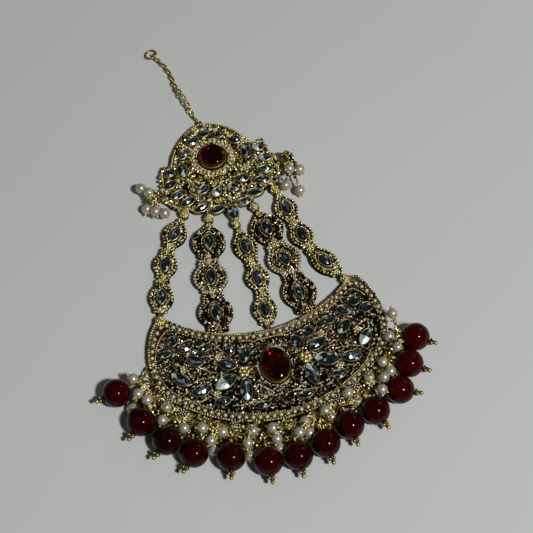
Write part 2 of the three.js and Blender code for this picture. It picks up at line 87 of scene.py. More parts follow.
CRESCENT_STONES = [  # x, y, long, wide, turn; each has a twin on the right
    (-29.0, 10.8, 3.8, 2.3, -5), (-25.9, 13.6, 2.8, 2.2, 40), (-22.6, 11.4, 3.8, 2.2, 20),
    (-17.6, 9.6, 3.4, 1.6, 12), (-21.3, 6.6, 4.4, 2.3, -40), (-26.3, 2.2, 5.0, 2.4, -48),
    (-21.1, -2.4, 5.0, 2.6, 8), (-11.3, 7.6, 2.8, 2.4, -50), (-7.5, 5.2, 4.2, 2.4, 65),
    (-12.9, 3.4, 4.8, 2.4, -30), (-14.2, -1.5, 6.2, 3.0, 22), (-9.3, -4.9, 6.0, 2.8, 80),
    (-16.3, -6.7, 3.6, 2.0, -5), (-6.0, -10.2, 4.0, 1.5, 0),
]
CROWN_STONES = [  # from the round stone's centre; each has a twin on the right
    (-4.0, 7.0, 3.0, 1.9, 15), (-7.9, 3.6, 3.2, 2.0, 30), (-9.9, -1.4, 3.6, 2.3, 90),
    (-13.6, -1.1, 2.8, 1.9, 25), (-14.6, -5.0, 3.4, 1.9, 17), (-13.3, -8.9, 4.2, 1.9, 10),
    (-11.3, -12.0, 4.2, 1.9, 14), (-8.1, -15.2, 4.2, 1.8, 9), (-4.0, -17.1, 4.0, 1.6, 6),
    (-6.0, -9.6, 3.4, 1.9, 15), (-2.5, -11.6, 2.8, 1.9, 30),
]
CROWN_MIDDLE_STONES = [(0.0, 8.6, 2.6, 2.0, 0), (0.0, -19.4, 4.2, 2.4, 90)]
# Stones with a painted flash at one end, and how many facets of each side carry it.
BRIGHT_STONES = {
    (-14.2, -1.5): 3, (-9.3, -4.9): 1, (26.3, 2.2): 3, (-26.3, 2.2): 1, (9.3, -4.9): 1,
    (14.2, -1.5): 1, (21.3, 6.6): 1, (-6.0, -9.6): 1, (-2.5, -11.6): 3, (-9.9, -1.4): 1,
    (9.9, -1.4): 1, (13.6, -1.1): 4, (14.6, -5.0): 2, (2.5, -11.6): 2,
}
STRIPS = [
    ("narrow", [(-15.0, 50.7), (-20.9, 42.3), (-24.4, 33.2), (-27.3, 23.0)]),
    ("wide", [(-7.8, 47.2), (-10.5, 36.1), (-11.7, 25.4), (-12.6, 14.4)]),
    ("narrow", [(0.0, 43.4), (1.4, 32.3), (1.9, 22.5), (0.9, 12.3)]),
    ("wide", [(6.7, 47.5), (9.2, 36.7), (11.6, 26.1), (12.6, 14.5)]),
    ("narrow", [(13.9, 51.8), (16.0, 42.2), (18.2, 33.0), (24.4, 22.7)]),
]
BEADS = [  # x, y, direction of the ball tip in degrees from +X, how much painted glow lightens the bead's red (painted light, strongest on the right)
    (-43.8, 2.1, 191, 0.5), (-39.0, -7.5, 224, 0.3), (-33.4, -14.3, 221, 0.1),
    (-27.1, -19.4, 228, 0.2), (-17.8, -22.8, 257, 0.2), (-8.5, -26.4, 267, 0.5),
    (-0.4, -26.8, 269, 0.3), (7.6, -25.2, 275, 0.4), (15.1, -21.9, 276, 0.3),
    (22.9, -19.6, 290, 0.6), (31.0, -15.5, 336, 1.0), (35.6, -8.8, 325, 1.0),
    (39.5, -1.7, 327, 1.0),
]
SPRAYS = [  # the eye's angle on the belly, 0 being straight down, then the pearls' centres
    (-55.0, [(-38.6, 4.4, 5.6), (-38.2, 0.4, 4.2), (-40.6, -2.4, 1.7), (-36.1, -2.0, 4.4)]),
    (-43.5, [(-31.6, -5.2, 4.4), (-33.3, -8.4, 3.9), (-28.2, -12.6, 5.7)]),
    (-25.0, [(-23.5, -13.8, 5.8), (-18.4, -15.7, 4.4), (-21.9, -17.0, 3.6), (-21.8, -19.3, 1.6)]),
    (-14.4, [(-10.5, -17.3, 4.2), (-12.6, -20.0, 3.4), (-12.6, -23.0, 1.6)]),
    (-4.7, [(-5.2, -17.8, 4.3), (-4.8, -20.9, 4.0), (-4.4, -23.0, 1.6)]),
    (4.0, [(3.7, -18.1, 4.2), (1.3, -21.2, 5.8), (4.2, -21.0, 2.6)]),
    (12.7, [(9.7, -16.5, 4.2), (11.2, -17.9, 2.0)]),
    (21.7, [(16.9, -13.2, 4.2), (19.2, -15.4, 2.4)]),
    (31.0, [(23.8, -10.1, 4.2), (27.3, -11.8, 6.3), (25.8, -15.1, 6.4)]),
    (40.5, [(28.6, -6.8, 4.2), (29.9, -9.9, 4.4)]),
    (49.5, [(32.4, 0.0, 4.4), (33.9, -3.2, 3.4), (34.9, 5.9, 5.6)]),
]
CROWN_SPRAYS = [
    ("left", -1, [(-24.6, 62.6, 3.4), (-22.6, 60.2, 4.2), (-24.2, 55.9, 2.6),
                  (-22.0, 53.7, 4.2), (-19.6, 52.3, 4.6)]),
    ("right", 1, [(22.0, 57.8, 3.0), (18.9, 58.0, 4.4), (19.8, 61.3, 2.4),
                  (16.4, 52.9, 4.4), (20.4, 51.2, 2.6)]),
]
PEARL_RADIUS = 1.5
CROWN_SPRAY_EYE = (17.85, -8.2)
CROWN_TOP_EYE = 13.0
CHAIN_ROUTE = [
    (-4.3, 84.4, 1.5), (-5.2, 88.5, 2.9), (-6.4, 92.4, 2.7), (-7.3, 96.2, 1.4),
    (-7.7, 100.2, 0.9), (-8.9, 104.0, 0.9), (-10.9, 107.5, 1.0),
]
# Beaded wires laid in curves on the crescent's field: start, pull and end; each has a twin.
FIELD_WIRES = [
    ((-29.5, 6.6), (-25.5, 8.2), (-23.6, 3.6)), ((-24.6, -0.2), (-20.4, 1.9), (-16.9, 0.6)),
    ((-23.0, -5.6), (-19.2, -4.6), (-17.4, -3.6)), ((-18.0, 7.4), (-15.2, 6.6), (-15.8, 3.4)),
    ((-14.2, 9.4), (-12.6, 5.2), (-9.6, 8.6)), ((-13.8, -8.4), (-10.6, -9.8), (-3.4, -8.0)),
    ((-5.2, 7.9), (-2.4, 9.2), (0.0, 8.4)), ((-18.9, 4.2), (-18.2, 1.9), (-16.2, 2.0)),
    ((-6.4, -6.8), (-3.4, -8.6), (0.0, -8.2)), ((-27.4, -1.2), (-24.8, -3.8), (-24.4, -5.4)),
]
FLOWERS = [(-8.7, 0.4, 0.62), (-17.2, -4.2, 0.42), (-24.6, 4.9, 0.42), (-14.6, 6.2, 0.4)]
EDGE_CAPS = [(-27.4, -7.3), (-30.9, -2.8), (-14.8, -14.2), (14.2, -13.7), (19.6, -11.0),
             (9.8, -15.0)]
CAPPED_PEARLS = [(-31.6, -5.2), (19.2, -15.4), (23.8, -10.1)]


CROWN_FLOWERS = [(-8.6, -6.3), (8.6, -6.3), (-3.0, -14.4), (3.0, -14.4), (0.0, -9.2),
                 (-15.9, -6.6), (15.9, -6.6), (-10.4, 3.6), (10.4, 3.6)]
CROWN_SEED_PEARLS = [
    (-6.4, 5.6), (6.6, 5.4), (-2.2, 9.6), (2.2, 9.4), (-9.2, -5.0), (9.4, -5.2), (-12.0, -4.2),
    (12.0, -4.4), (-5.2, -13.4), (5.0, -13.6), (-10.9, 1.9), (11.0, 2.0), (-6.6, -6.9), (6.8, -6.8),
]
# Edges of the plates from the back to the front: how far in from the outline, and how high.
CRESCENT_EDGE = [
    (0.25, 0.0), (0.0, 0.25), (0.0, 1.95), (0.12, 2.25), (0.4, 2.4), (0.75, 2.33), (0.95, 2.1),
    (1.85, 2.1), (2.05, 2.33), (2.3, 2.4), (2.5, 2.2), (2.6, 1.8),
]
CROWN_EDGE = [(0.2, 0.0), (0.0, 0.2), (0.0, 1.6), (0.15, 1.95), (0.5, 2.1), (0.8, 1.95), (0.95, 1.8)]
LINK_EDGE = [(0.2, 0.5), (0.0, 0.7), (0.0, 1.75), (0.15, 1.95), (0.35, 2.0), (0.9, 1.9)]
COVER_EDGE = [(0.12, 1.5), (0.0, 1.6), (0.0, 1.9), (0.15, 2.0)]
# From the oval stone's centre, in millimetres; the lens is in millimetres too.
CAMERA = {"place": (-34.2, -127.0, 342.7), "aim": (5.23, 30.85, 0.0), "lens": 89.6, "sensor": 36.0}
LIGHTS_AIM = (0, 25, 0)
LIGHTS = [  # name, direction, distance and size in metres, the property with its power
    ("key", (0.36, -0.52, 1.0), 1.1, 0.13, "key_power"),
    ("ceiling_left", (-0.41, 0.2, 1.0), 0.7, 0.07, "glint_power"),
    ("ceiling", (-0.1, 0.13, 1.0), 0.7, 0.06, "glint_power"),
    ("window", (0.78, 0.55, 0.62), 0.8, 0.22, "window_power"),
]
HORIZON, ZENITH = (1.0, 0.95, 0.88, 1), (0.45, 0.43, 0.42, 1)


# ---- Making meshes ----------------------------------------------------------------------------

class Work:
    """One piece in the making: points in millimetres, faces with a finish, and a tone per face.

    Each set of faces takes its own entry of tones: one number, or one for every face."""

    def __init__(self):
        self.points, self.faces, self.finishes, self.count = [], [], [], 0

    def add(self, points, faces, finish, smooth, tones):
        index = self.index(finish)
        for rows, tone in zip(faces, tones):
            tone = np.broadcast_to(np.asarray(tone, float), (len(rows),))
            self.faces.append((rows + self.count, index, smooth, tone))
        self.points.append(np.asarray(points, float))
        self.count += len(points)

    def index(self, finish):
        if finish not in self.finishes:
            self.finishes.append(finish)
        return self.finishes.index(finish)


def make_piece(name, work, slot, *nodes):
    """Turns the work into an object that rides on the root body and stands for the CAD nodes."""
    mesh = bpy.data.meshes.new(name)
    points = np.concatenate(work.points) * MM + ORIGIN
    corners = np.concatenate([rows.ravel() for rows, _, _, _ in work.faces])
    sizes = np.concatenate([np.full(len(rows), rows.shape[1]) for rows, _, _, _ in work.faces])
    finishes = np.concatenate([np.full(len(rows), index) for rows, index, _, _ in work.faces])
    smooth = np.concatenate([np.full(len(rows), flag) for rows, _, flag, _ in work.faces])
    tones = np.concatenate([tones for _, _, _, tones in work.faces])
    mesh.vertices.add(len(points))
    mesh.vertices.foreach_set("co", points.ravel())
    mesh.loops.add(len(corners))
    mesh.loops.foreach_set("vertex_index", corners.astype(np.int32))
    mesh.polygons.add(len(sizes))
    mesh.polygons.foreach_set("loop_start", np.concatenate([[0], np.cumsum(sizes)[:-1]]))
    mesh.polygons.foreach_set("material_index", finishes)
    mesh.polygons.foreach_set("use_smooth", smooth)
    mesh.attributes.new("tone", "FLOAT", "FACE").data.foreach_set("value", tones)
    for finish in work.finishes:
        mesh.materials.append(finish_material(finish))
    mesh.update(calc_edges=True)
    mesh.validate()
    piece = bpy.data.objects.new(name, mesh)
    bpy.context.scene.collection.objects.link(piece)
    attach(piece, "root")
    if nodes:
        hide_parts(*nodes)
    return piece


def unit_rows(vectors):
    return vectors / np.linalg.norm(vectors, axis=1)[:, None]


def unit(vector):
    vector = np.asarray(vector, float)
    return vector / np.linalg.norm(vector)


def full_turn(count):
    """Evenly spaced angles all the way round, without the last that meets the first."""
    return np.linspace(0, 2 * math.pi, count, endpoint=False)


def left_of(directions):
    """Each direction of a flat path, turned a quarter to the left."""
    return np.stack([-directions[:, 1], directions[:, 0]], axis=1)


def ball_shape(level):
    """An icosahedron whose faces are split in four as many times as the level says."""
    golden = (1 + math.sqrt(5)) / 2
    points = [(-1, golden, 0), (1, golden, 0), (-1, -golden, 0), (1, -golden, 0),
              (0, -1, golden), (0, 1, golden), (0, -1, -golden), (0, 1, -golden),
              (golden, 0, -1), (golden, 0, 1), (-golden, 0, -1), (-golden, 0, 1)]
    points = [unit(point) for point in points]
    faces = [(0, 11, 5), (0, 5, 1), (0, 1, 7), (0, 7, 10), (0, 10, 11), (1, 5, 9), (5, 11, 4),
             (11, 10, 2), (10, 7, 6), (7, 1, 8), (3, 9, 4), (3, 4, 2), (3, 2, 6), (3, 6, 8),
             (3, 8, 9), (4, 9, 5), (2, 4, 11), (6, 2, 10), (8, 6, 7), (9, 8, 1)]
    for _ in range(level):
        middles, finer = {}, []

        def middle(a, b):
            key = (min(a, b), max(a, b))
            if key not in middles:
                middles[key] = len(points)
                points.append(unit(points[a] + points[b]))
            return middles[key]

        for a, b, c in faces:
            ab, bc, ca = middle(a, b), middle(b, c), middle(c, a)
            finer += [(a, ab, ca), (b, bc, ab), (c, ca, bc), (ab, bc, ca)]
        faces = finer
    return np.array(points), np.array(faces)


BALL_SHAPES = [ball_shape(level) for level in range(4)]


def random_turns(count, draw):
    """One rotation matrix for each of a number of granules."""
    w, x, y, z = unit_rows(draw.normal(0, 1, (count, 4))).T
    return np.stack([
        1 - 2 * (y * y + z * z), 2 * (x * y - w * z), 2 * (x * z + w * y),
        2 * (x * y + w * z), 1 - 2 * (x * x + z * z), 2 * (y * z - w * x),
        2 * (x * z - w * y), 2 * (y * z + w * x), 1 - 2 * (x * x + y * y),
    ], axis=1).reshape(count, 3, 3)


def balls(work, centres, radii, finish, level=1, tones=0.5, facets=None):
    """Many balls at once, each of one tone. Given a random source, they are cut and turned."""
    centres = np.atleast_2d(np.asarray(centres, float))
    if not len(centres):
        return
    shape, faces = BALL_SHAPES[level]
    radii = np.broadcast_to(np.asarray(radii, float), (len(centres),))
    tones = np.broadcast_to(np.asarray(tones, float), (len(centres),))
    shapes = np.broadcast_to(shape[None], (len(centres), *shape.shape))
    if facets is not None:
        shapes = np.einsum("nij,nkj->nki", random_turns(len(centres), facets), shapes)
    points = centres[:, None, :] + shapes * radii[:, None, None]
    rows = faces[None] + (np.arange(len(centres)) * len(shape))[:, None, None]
    work.add(points.reshape(-1, 3), [rows.reshape(-1, 3)], finish, facets is None,
             [np.repeat(tones, len(faces))])


def loft(work, layers, finish, wrap=False, smooth=True, tone=0.5):
    """Skins closed outlines one above the other, capped at both ends or wrapped on themselves."""
    layers = np.asarray(layers, float)
    count, corners = layers.shape[:2]
    here = np.arange(corners)
    there = (here + 1) % corners
    quads = []
    for row in range(count if wrap else count - 1):
        low, high = row * corners, ((row + 1) % count) * corners
        quads.append(np.stack([low + here, low + there, high + there, high + here], axis=1))
    faces = [np.concatenate(quads)]
    if not wrap:
        faces += [here[::-1][None], ((count - 1) * corners + here)[None]]
    cap_tone = float(np.mean(tone))
    work.add(layers.reshape(-1, 3), faces, finish, smooth, [tone, cap_tone, cap_tone])


def sweep(work, path, radius, finish, sides=8, closed=False, normal=None, tone=0.5):
    """A round wire along a path. A flat path states its normal, any other turns as little as it can."""
    path = np.asarray(path, float)
    if closed:
        tangents = np.roll(path, -1, axis=0) - np.roll(path, 1, axis=0)
    else:
        tangents = np.gradient(path, axis=0)
    tangents = unit_rows(tangents)
    firsts = []
    first = normal
    if first is None:
        first = UP if abs(tangents[0][2]) < 0.9 else np.array([1.0, 0.0, 0.0])
    for tangent in tangents:
        first = unit(first - np.dot(first, tangent) * tangent)
        firsts.append(first)
    firsts = np.array(firsts)
    seconds = np.cross(tangents, firsts)
    turns = full_turn(sides)
    radii = np.broadcast_to(np.asarray(radius, float), (len(path),))
    rings = path[:, None] + radii[:, None, None] * (
        firsts[:, None] * np.cos(turns)[None, :, None]
        + seconds[:, None] * np.sin(turns)[None, :, None])
    loft(work, rings, finish, wrap=closed, tone=tone)


def ring(work, centre, normal, radius, wire, finish, segments=20, sides=8, tone=0.5):
    """A round ring of wire."""
    normal = unit(normal)
    first = unit(np.cross(normal, UP if abs(normal[2]) < 0.9 else (1.0, 0.0, 0.0)))
    second = np.cross(normal, first)
    turns = full_turn(segments)[:, None]
    path = np.asarray(centre) + radius * (first * np.cos(turns) + second * np.sin(turns))
    sweep(work, path, wire, finish, sides, True, normal, tone)


def lathe(work, profile, centre, axis, finish, segments=16, wrap=False, tone=0.5, squash=(1, 1)):
    """Turns a profile of radius and height about an axis."""
    axis = unit(axis)
    first = np.array([1.0, 0.0, 0.0]) if abs(axis[2]) > 0.9 else unit(np.cross(UP, axis))
    second = np.cross(axis, first)
    turns = full_turn(segments)
    around = (first * squash[0] * np.cos(turns)[:, None]
              + second * squash[1] * np.sin(turns)[:, None])
    rings = [np.asarray(centre) + axis * height + radius * around for radius, height in profile]
    loft(work, rings, finish, wrap, tone=tone)


# ---- Outlines ---------------------------------------------------------------------------------

def arc(x, y, radius, start, end, count):
    turns = np.radians(np.linspace(start, end, count))
    return np.stack([x + radius * np.cos(turns), y + radius * np.sin(turns)], axis=1)


def curve(points, count):
    """A Bezier curve of any degree through its end points."""
    steps = np.linspace(0, 1, count)[:, None]
    level = [np.asarray(point, float)[None] * np.ones_like(steps) for point in points]
    while len(level) > 1:
        level = [a * (1 - steps) + b * steps for a, b in zip(level, level[1:])]
    return level[0]


def mirrored_outline(right):
    """Completes an outline that starts and ends on the centre line."""
    left = right[::-1] * np.array([-1.0, 1.0])
    return np.concatenate([right, left[1:-1]])


def crescent_outline(inset=0.0):
    belly = CRESCENT["belly_radius"] - inset
    mouth = CRESCENT["mouth_radius"] + inset
    diagonal = math.sqrt(0.5)
    end = np.array([belly * diagonal, CRESCENT["belly_y"] - belly * diagonal])
    pull = CRESCENT["shoulder_pull"] * diagonal
    inner = CRESCENT["horn_inner"]
    inner_y = CRESCENT["mouth_y"] - math.sqrt(mouth ** 2 - inner ** 2)
    mouth_turn = math.degrees(math.atan2(inner_y - CRESCENT["mouth_y"], inner))
    horn = np.array(CRESCENT["horn"]) - inset * np.array([0.75, 1.8])
    crown = np.array(CRESCENT["horn_crown"]) - inset * np.array([0.3, 1.9])
    shoulder = np.array(CRESCENT["shoulder"]) - inset * np.array([1.0, 0.5])
    return mirrored_outline(np.concatenate([
        arc(0, CRESCENT["belly_y"], belly, -90, -45, 44),
        curve([end, end + pull, shoulder, horn], 26)[1:],
        curve([horn, crown, (inner, inner_y)], 9)[1:],
        arc(0, CRESCENT["mouth_y"], mouth, mouth_turn, -90, 40)[1:],
    ]))


def crown_outline():
    """From the round stone's centre, before the crown is turned. Starts at the bottom middle."""
    right = np.concatenate([
        curve([(0, -17.4), (5.0, -17.2), (9.5, -15.6), (13.6, -13.6)], 16),
        curve([(13.6, -13.6), (18.4, -11.4), (17.9, -6.6)], 12)[1:],
        curve([(17.9, -6.6), (16.4, -3.4), (16.3, -1.4)], 8)[1:],
        curve([(16.3, -1.4), (15.6, 2.0), (12.6, 1.4)], 9)[1:],
        curve([(12.6, 1.4), (10.8, 6.8), (4.5, 12.3), (0, 12.5)], 22)[1:],
    ])
    return mirrored_outline(right)


def inset_outline(outline, inset):
    """Draws a counter-clockwise outline in by an even distance."""
    inward = left_of(unit_rows(np.roll(outline, -1, axis=0) - outline))
    return outline + inset * unit_rows(inward + np.roll(inward, 1, axis=0))


def spaced(path, pitch, closed=True):
    """Points an even distance apart along a path, and the direction of the path at each."""
    path = np.asarray(path, float)
    if closed:
        path = np.concatenate([path, path[:1]])
    steps = np.linalg.norm(np.diff(path, axis=0), axis=1)
    along = np.concatenate([[0], np.cumsum(steps)])
    count = max(2, round(along[-1] / pitch))
    wanted = np.linspace(0, along[-1], count, endpoint=not closed)

    def points_at(distances):
        return np.stack([np.interp(distances, along, row) for row in path.T], axis=1)

    ahead = points_at(np.minimum(wanted + LOOK_ALONG, along[-1]))
    behind = points_at(np.maximum(wanted - LOOK_ALONG, 0))
    return points_at(wanted), unit_rows(ahead - behind)


def inside(points, outline):
    x, y = points[:, 0][:, None], points[:, 1][:, None]
    x0, y0 = outline[:, 0][None], outline[:, 1][None]
    x1, y1 = np.roll(x0, -1, axis=1), np.roll(y0, -1, axis=1)
    spans = (y0 > y) != (y1 > y)
    rise = np.where(y1 == y0, 1e-9, y1 - y0)
    return (spans & (x < (x1 - x0) * (y - y0) / rise + x0)).sum(axis=1) % 2 == 1


def marquise(long, wide, steps=8):
    """A pointed oval made of two arcs, lying along +X."""
    half = long / 2
    radius = (half * half + wide * wide / 4) / wide
    reach = math.asin(min(1.0, half / radius))
    turns = np.linspace(-reach, reach, steps + 1)[:-1]
    low = np.stack([radius * np.sin(turns), radius - wide / 2 - radius * np.cos(turns)], axis=1)
    return np.concatenate([low, -low])


def ellipse(width, length, count=48):
    turns = full_turn(count)
    return np.stack([width / 2 * np.cos(turns), length / 2 * np.sin(turns)], axis=1)


def turned(points, degrees):
    turn = math.radians(degrees)
    matrix = np.array([[math.cos(turn), math.sin(turn)], [-math.sin(turn), math.cos(turn)]])
    return np.asarray(points, float) @ matrix


def at_height(outline, height):
    outline = np.asarray(outline, float)
    return np.concatenate([outline, np.full((len(outline), 1), float(height))], axis=1)


def mirrored(row):
    x, y, long, wide, turn = row
    return (-x, y, long, wide, -turn)


def both_sides(rows):
    return [*rows, *map(mirrored, rows)]


def crown_place(x, y):
    return turned([(x, y)], CROWN["turn"])[0] + (CROWN["x"], CROWN["y"])


def crown_row(row):
    x, y, long, wide, turn = row
    return (*crown_place(x, y), long, wide, turn + CROWN["turn"])


def covered(points, rows, margin):
    """True where a point lies on a small stone's setting or within the margin round it."""
    hidden = np.zeros(len(points), bool)
    for x, y, long, wide, turn in rows:
        local = np.abs(turned(points - (x, y), -turn))
        reach, half = long / 2 + 1.4 * margin, wide / 2 + margin
        hidden |= (local[:, 0] < reach) & (local[:, 1] < half * (1 - (local[:, 0] / reach) ** 2))
    return hidden


def grid(low, high, pitch, draw, jitter=0.22):
    """Places in a loose honeycomb over a rectangle."""
    xs = np.arange(low[0], high[0], pitch)
    ys = np.arange(low[1], high[1], pitch * 0.866)
    x, y = np.meshgrid(xs, ys)
    x = x + (np.arange(len(ys)) % 2)[:, None] * pitch / 2
    points = np.stack([x.ravel(), y.ravel()], axis=1)
    return points + draw.normal(0, jitter * pitch, points.shape)


# ---- Materials --------------------------------------------------------------------------------

def new_group(name, inputs, outputs):
    tree = bpy.data.node_groups.new(name, "ShaderNodeTree")
    for label, kind, default in inputs:
        socket = tree.interface.new_socket(label, in_out="INPUT", socket_type=kind)
        socket.default_value = default
    for label, kind in outputs:
        tree.interface.new_socket(label, in_out="OUTPUT", socket_type=kind)
    return tree, tree.nodes.new("NodeGroupInput"), tree.nodes.new("NodeGroupOutput")


def fill_socket(tree, socket, content):
    """Joins a socket to a node's output, or sets it to a value."""
    if isinstance(content, bpy.types.NodeSocket):
        tree.links.new(content, socket)
    else:
        socket.default_value = content


def calculate(tree, operation, *terms):
    """A math node on sockets or numbers."""
    node = tree.nodes.new("ShaderNodeMath")
    node.operation = operation
    for socket, content in zip(node.inputs, terms):
        fill_socket(tree, socket, content)
    return node.outputs[0]


def sum_of(tree, *terms):
    """Adds sockets or numbers, each a value or a (value, factor) pair, and clamps the result."""
    total = 0.0
    for term in terms:
        value, factor = term if isinstance(term, tuple) else (term, 1.0)
        total = calculate(tree, "MULTIPLY_ADD", value, factor, total)
    total.node.use_clamp = True
    return total


def mix(tree, factor, first, second):
    node = tree.nodes.new("ShaderNodeMix")
    node.data_type = "RGBA"
    for index, content in ((0, factor), (6, first), (7, second)):
        fill_socket(tree, node.inputs[index], content)
    return node.outputs[2]


def noise(tree, scale, detail=3.0):
    place = tree.nodes.new("ShaderNodeTexCoord")
    texture = tree.nodes.new("ShaderNodeTexNoise")
    fill_socket(tree, texture.inputs["Scale"], scale)
    texture.inputs["Detail"].default_value = detail
    tree.links.new(place.outputs["Object"], texture.inputs["Vector"])
    return texture.outputs["Fac"]


def tone_of(tree):
    node = tree.nodes.new("ShaderNodeAttribute")
    node.attribute_name = "tone"
    return node.outputs["Fac"]


def height_of(tree, output="Object"):
    """The height of the shaded point, or with Generated that of the direction looked in."""
    place = tree.nodes.new("ShaderNodeTexCoord")
    split = tree.nodes.new("ShaderNodeSeparateXYZ")
    tree.links.new(place.outputs[output], split.inputs[0])
    return split.outputs["Z"]


def remap(tree, value, low, high):
    """Brings a value's range to 0 to 1."""
    node = tree.nodes.new("ShaderNodeMapRange")
    for name, content in (("Value", value), ("From Min", low), ("From Max", high)):
        fill_socket(tree, node.inputs[name], content)
    return node.outputs["Result"]


def finish_group(tree, out, **results):
    for name, socket in results.items():
        tree.links.new(socket, out.inputs[name])
    return tree


def painted_light_metal_group(name):
    """Dark in the low places, partly the aged gold's patina in its hollows and partly painted shade in
    the recesses; lighter on the high places and high tones, where the brightest take the glint colour
    as painted highlights; with fine casting grain.
    """
    tree, given, out = new_group(name, [
        ("Bright", "NodeSocketColor", (0.8, 0.6, 0.3, 1)),
        ("Recess", "NodeSocketColor", (0.05, 0.03, 0.01, 1)),
        ("Glint", "NodeSocketColor", (1.0, 0.95, 0.8, 1)),
        ("Low", "NodeSocketFloat", 0.0), ("High", "NodeSocketFloat", 0.003),
        ("Spread", "NodeSocketFloat", 0.5), ("Polish", "NodeSocketFloat", 0.25),
    ], [("Color", "NodeSocketColor"), ("Roughness", "NodeSocketFloat"),
        ("Height", "NodeSocketFloat")])
    given = given.outputs
    lift = remap(tree, height_of(tree), given["Low"], given["High"])
    centred = calculate(tree, "SUBTRACT", tone_of(tree), 0.5)
    spread = calculate(tree, "MULTIPLY", centred, given["Spread"])
    blotch = noise(tree, 620.0, 4.0)
    grain = noise(tree, 5200.0, 2.0)
    # Height, noise and tone make one value: low gives the patina and painted shade of the recesses,
    # high the lighter gold.
    wear_and_painted_light = sum_of(tree, (lift, 0.45), (blotch, 0.4), spread, -0.1)
    color = mix(tree, sum_of(tree, (wear_and_painted_light, 1.3)), given["Recess"], given["Bright"])
    return finish_group(
        tree, out,
        # Above that the colour goes to the glint colour: painted highlights.
        Color=mix(tree, sum_of(tree, (wear_and_painted_light, 4.0), -3.0), color, given["Glint"]),
        Roughness=sum_of(tree, given["Polish"], (wear_and_painted_light, -0.12), (grain, 0.16), 0.06),
        Height=sum_of(tree, (grain, 0.7), (blotch, 0.3)))


def lustre_group(name):
    """Soft cloudy change between two body colours, each piece with a tone of its own, and painted
    sparkles: sparse specks of a lighter colour standing for tiny reflections.
    """
    tree, given, out = new_group(name, [
        ("Body", "NodeSocketColor", (0.8, 0.75, 0.65, 1)),
        ("Blush", "NodeSocketColor", (0.75, 0.6, 0.5, 1)),
        ("Scale", "NodeSocketFloat", 500.0), ("Polish", "NodeSocketFloat", 0.2),
        ("Spread", "NodeSocketFloat", 0.5), ("Fleck", "NodeSocketFloat", 0.0),
        ("Spark", "NodeSocketColor", (0.16, 0.012, 0.016, 1)),
    ], [("Color", "NodeSocketColor"), ("Roughness", "NodeSocketFloat")])
    given = given.outputs
    cloud = noise(tree, given["Scale"])
    deep = calculate(tree, "MULTIPLY", tone_of(tree), given["Spread"])
    # Painted sparkles: sparse specks that take the sparkle colour.
    specks = sum_of(tree, (noise(tree, 2800.0, 1.0), 9.0), -5.9)
    painted_sparkle = calculate(tree, "MULTIPLY", specks, given["Fleck"])
    color = mix(tree, sum_of(tree, (cloud, 1.1), deep, -0.4), given["Body"], given["Blush"])
    return finish_group(tree, out, Color=mix(tree, painted_sparkle, color, given["Spark"]),
                        Roughness=sum_of(tree, given["Polish"], (cloud, 0.06)))


def flash_group(name):
    """Painted flashes and painted shade on foil behind a facet: mostly dark, and light where the
    facet's tone is high.
    """
    tree, given, out = new_group(name, [
        ("Dark", "NodeSocketColor", (0.02, 0.03, 0.04, 1)),
        ("Light", "NodeSocketColor", (0.6, 0.7, 0.8, 1)),
    ], [("Color", "NodeSocketColor"), ("Roughness", "NodeSocketFloat")])
    flash = calculate(tree, "POWER", remap(tree, tone_of(tree), 0.1, 0.95), 1.8)
    cloud = noise(tree, 1400.0, 2.0)
    share = sum_of(tree, (flash, 0.95), (cloud, 0.2), -0.09)
    return finish_group(tree, out,
                        Color=mix(tree, share, given.outputs["Dark"], given.outputs["Light"]),
                        Roughness=sum_of(tree, (cloud, 0.1), (flash, 0.3), 0.04))


def new_material(name, **settings):
    """A Principled material. Settings are the shader's own sockets, with _ for a space."""
    material = bpy.data.materials.new(name)
    material.use_nodes = True
    tree = material.node_tree
    shader = tree.nodes["Principled BSDF"]
    for socket, value in settings.items():
        shader.inputs[socket.replace("_", " ")].default_value = value
    return material, tree, shader


def rgba(colour):
    return (*colour[:3], 1.0)


def surface(name, group_name, build, settings, **values):
    """A material whose colour and roughness come from a shared group."""
    material, tree, shader = new_material(name, **settings)
    group = tree.nodes.new("ShaderNodeGroup")
    group.node_tree = bpy.data.node_groups.get(group_name) or build(group_name)
    for socket, value in values.items():
        group.inputs[socket].default_value = value
    tree.links.new(group.outputs["Color"], shader.inputs["Base Color"])
    tree.links.new(group.outputs["Roughness"], shader.inputs["Roughness"])
    return material, tree, shader, group


def metal(name, bright, patina_and_shade, glint, low, high, spread, polish):
    material, tree, shader, group = surface(
        name, "worn_metal", painted_light_metal_group,
        {"Metallic": 1.0, "Specular_Tint": (0.5, 0.42, 0.22, 1.0)}, Bright=rgba(bright),
        Recess=rgba(patina_and_shade), Glint=rgba(glint), Low=low * MM, High=high * MM, Spread=spread,
        Polish=polish)
    bump = tree.nodes.new("ShaderNodeBump")
    bump.inputs["Strength"].default_value = 0.6
    bump.inputs["Distance"].default_value = 0.02 * MM
    tree.links.new(group.outputs["Height"], bump.inputs["Height"])
    tree.links.new(bump.outputs["Normal"], shader.inputs["Normal"])
    return material


def lustrous(name, body, blush, scale, polish, spread=0.5, painted_sparkle=0.0, **settings):
    return surface(name, "lustre", lustre_group, settings, Body=rgba(body), Blush=rgba(blush),
                   Scale=scale, Polish=polish, Spread=spread, Fleck=painted_sparkle)[0]


# Foil colours, darker or lighter by facet tone: painted shade and painted flashes.
def foil(name, dark, light, **settings):
    return surface(name, "flash", flash_group, settings, Dark=rgba(dark), Light=rgba(light))[0]


def glass(name, colour, **settings):
    material, tree, shader = new_material(name, Transmission_Weight=1.0, **settings)
    cloud = noise(tree, 300.0, 2.0)
    tree.links.new(mix(tree, cloud, rgba(colour), rgba([0.8 * part for part in colour])),
                   shader.inputs["Base Color"])
    return material


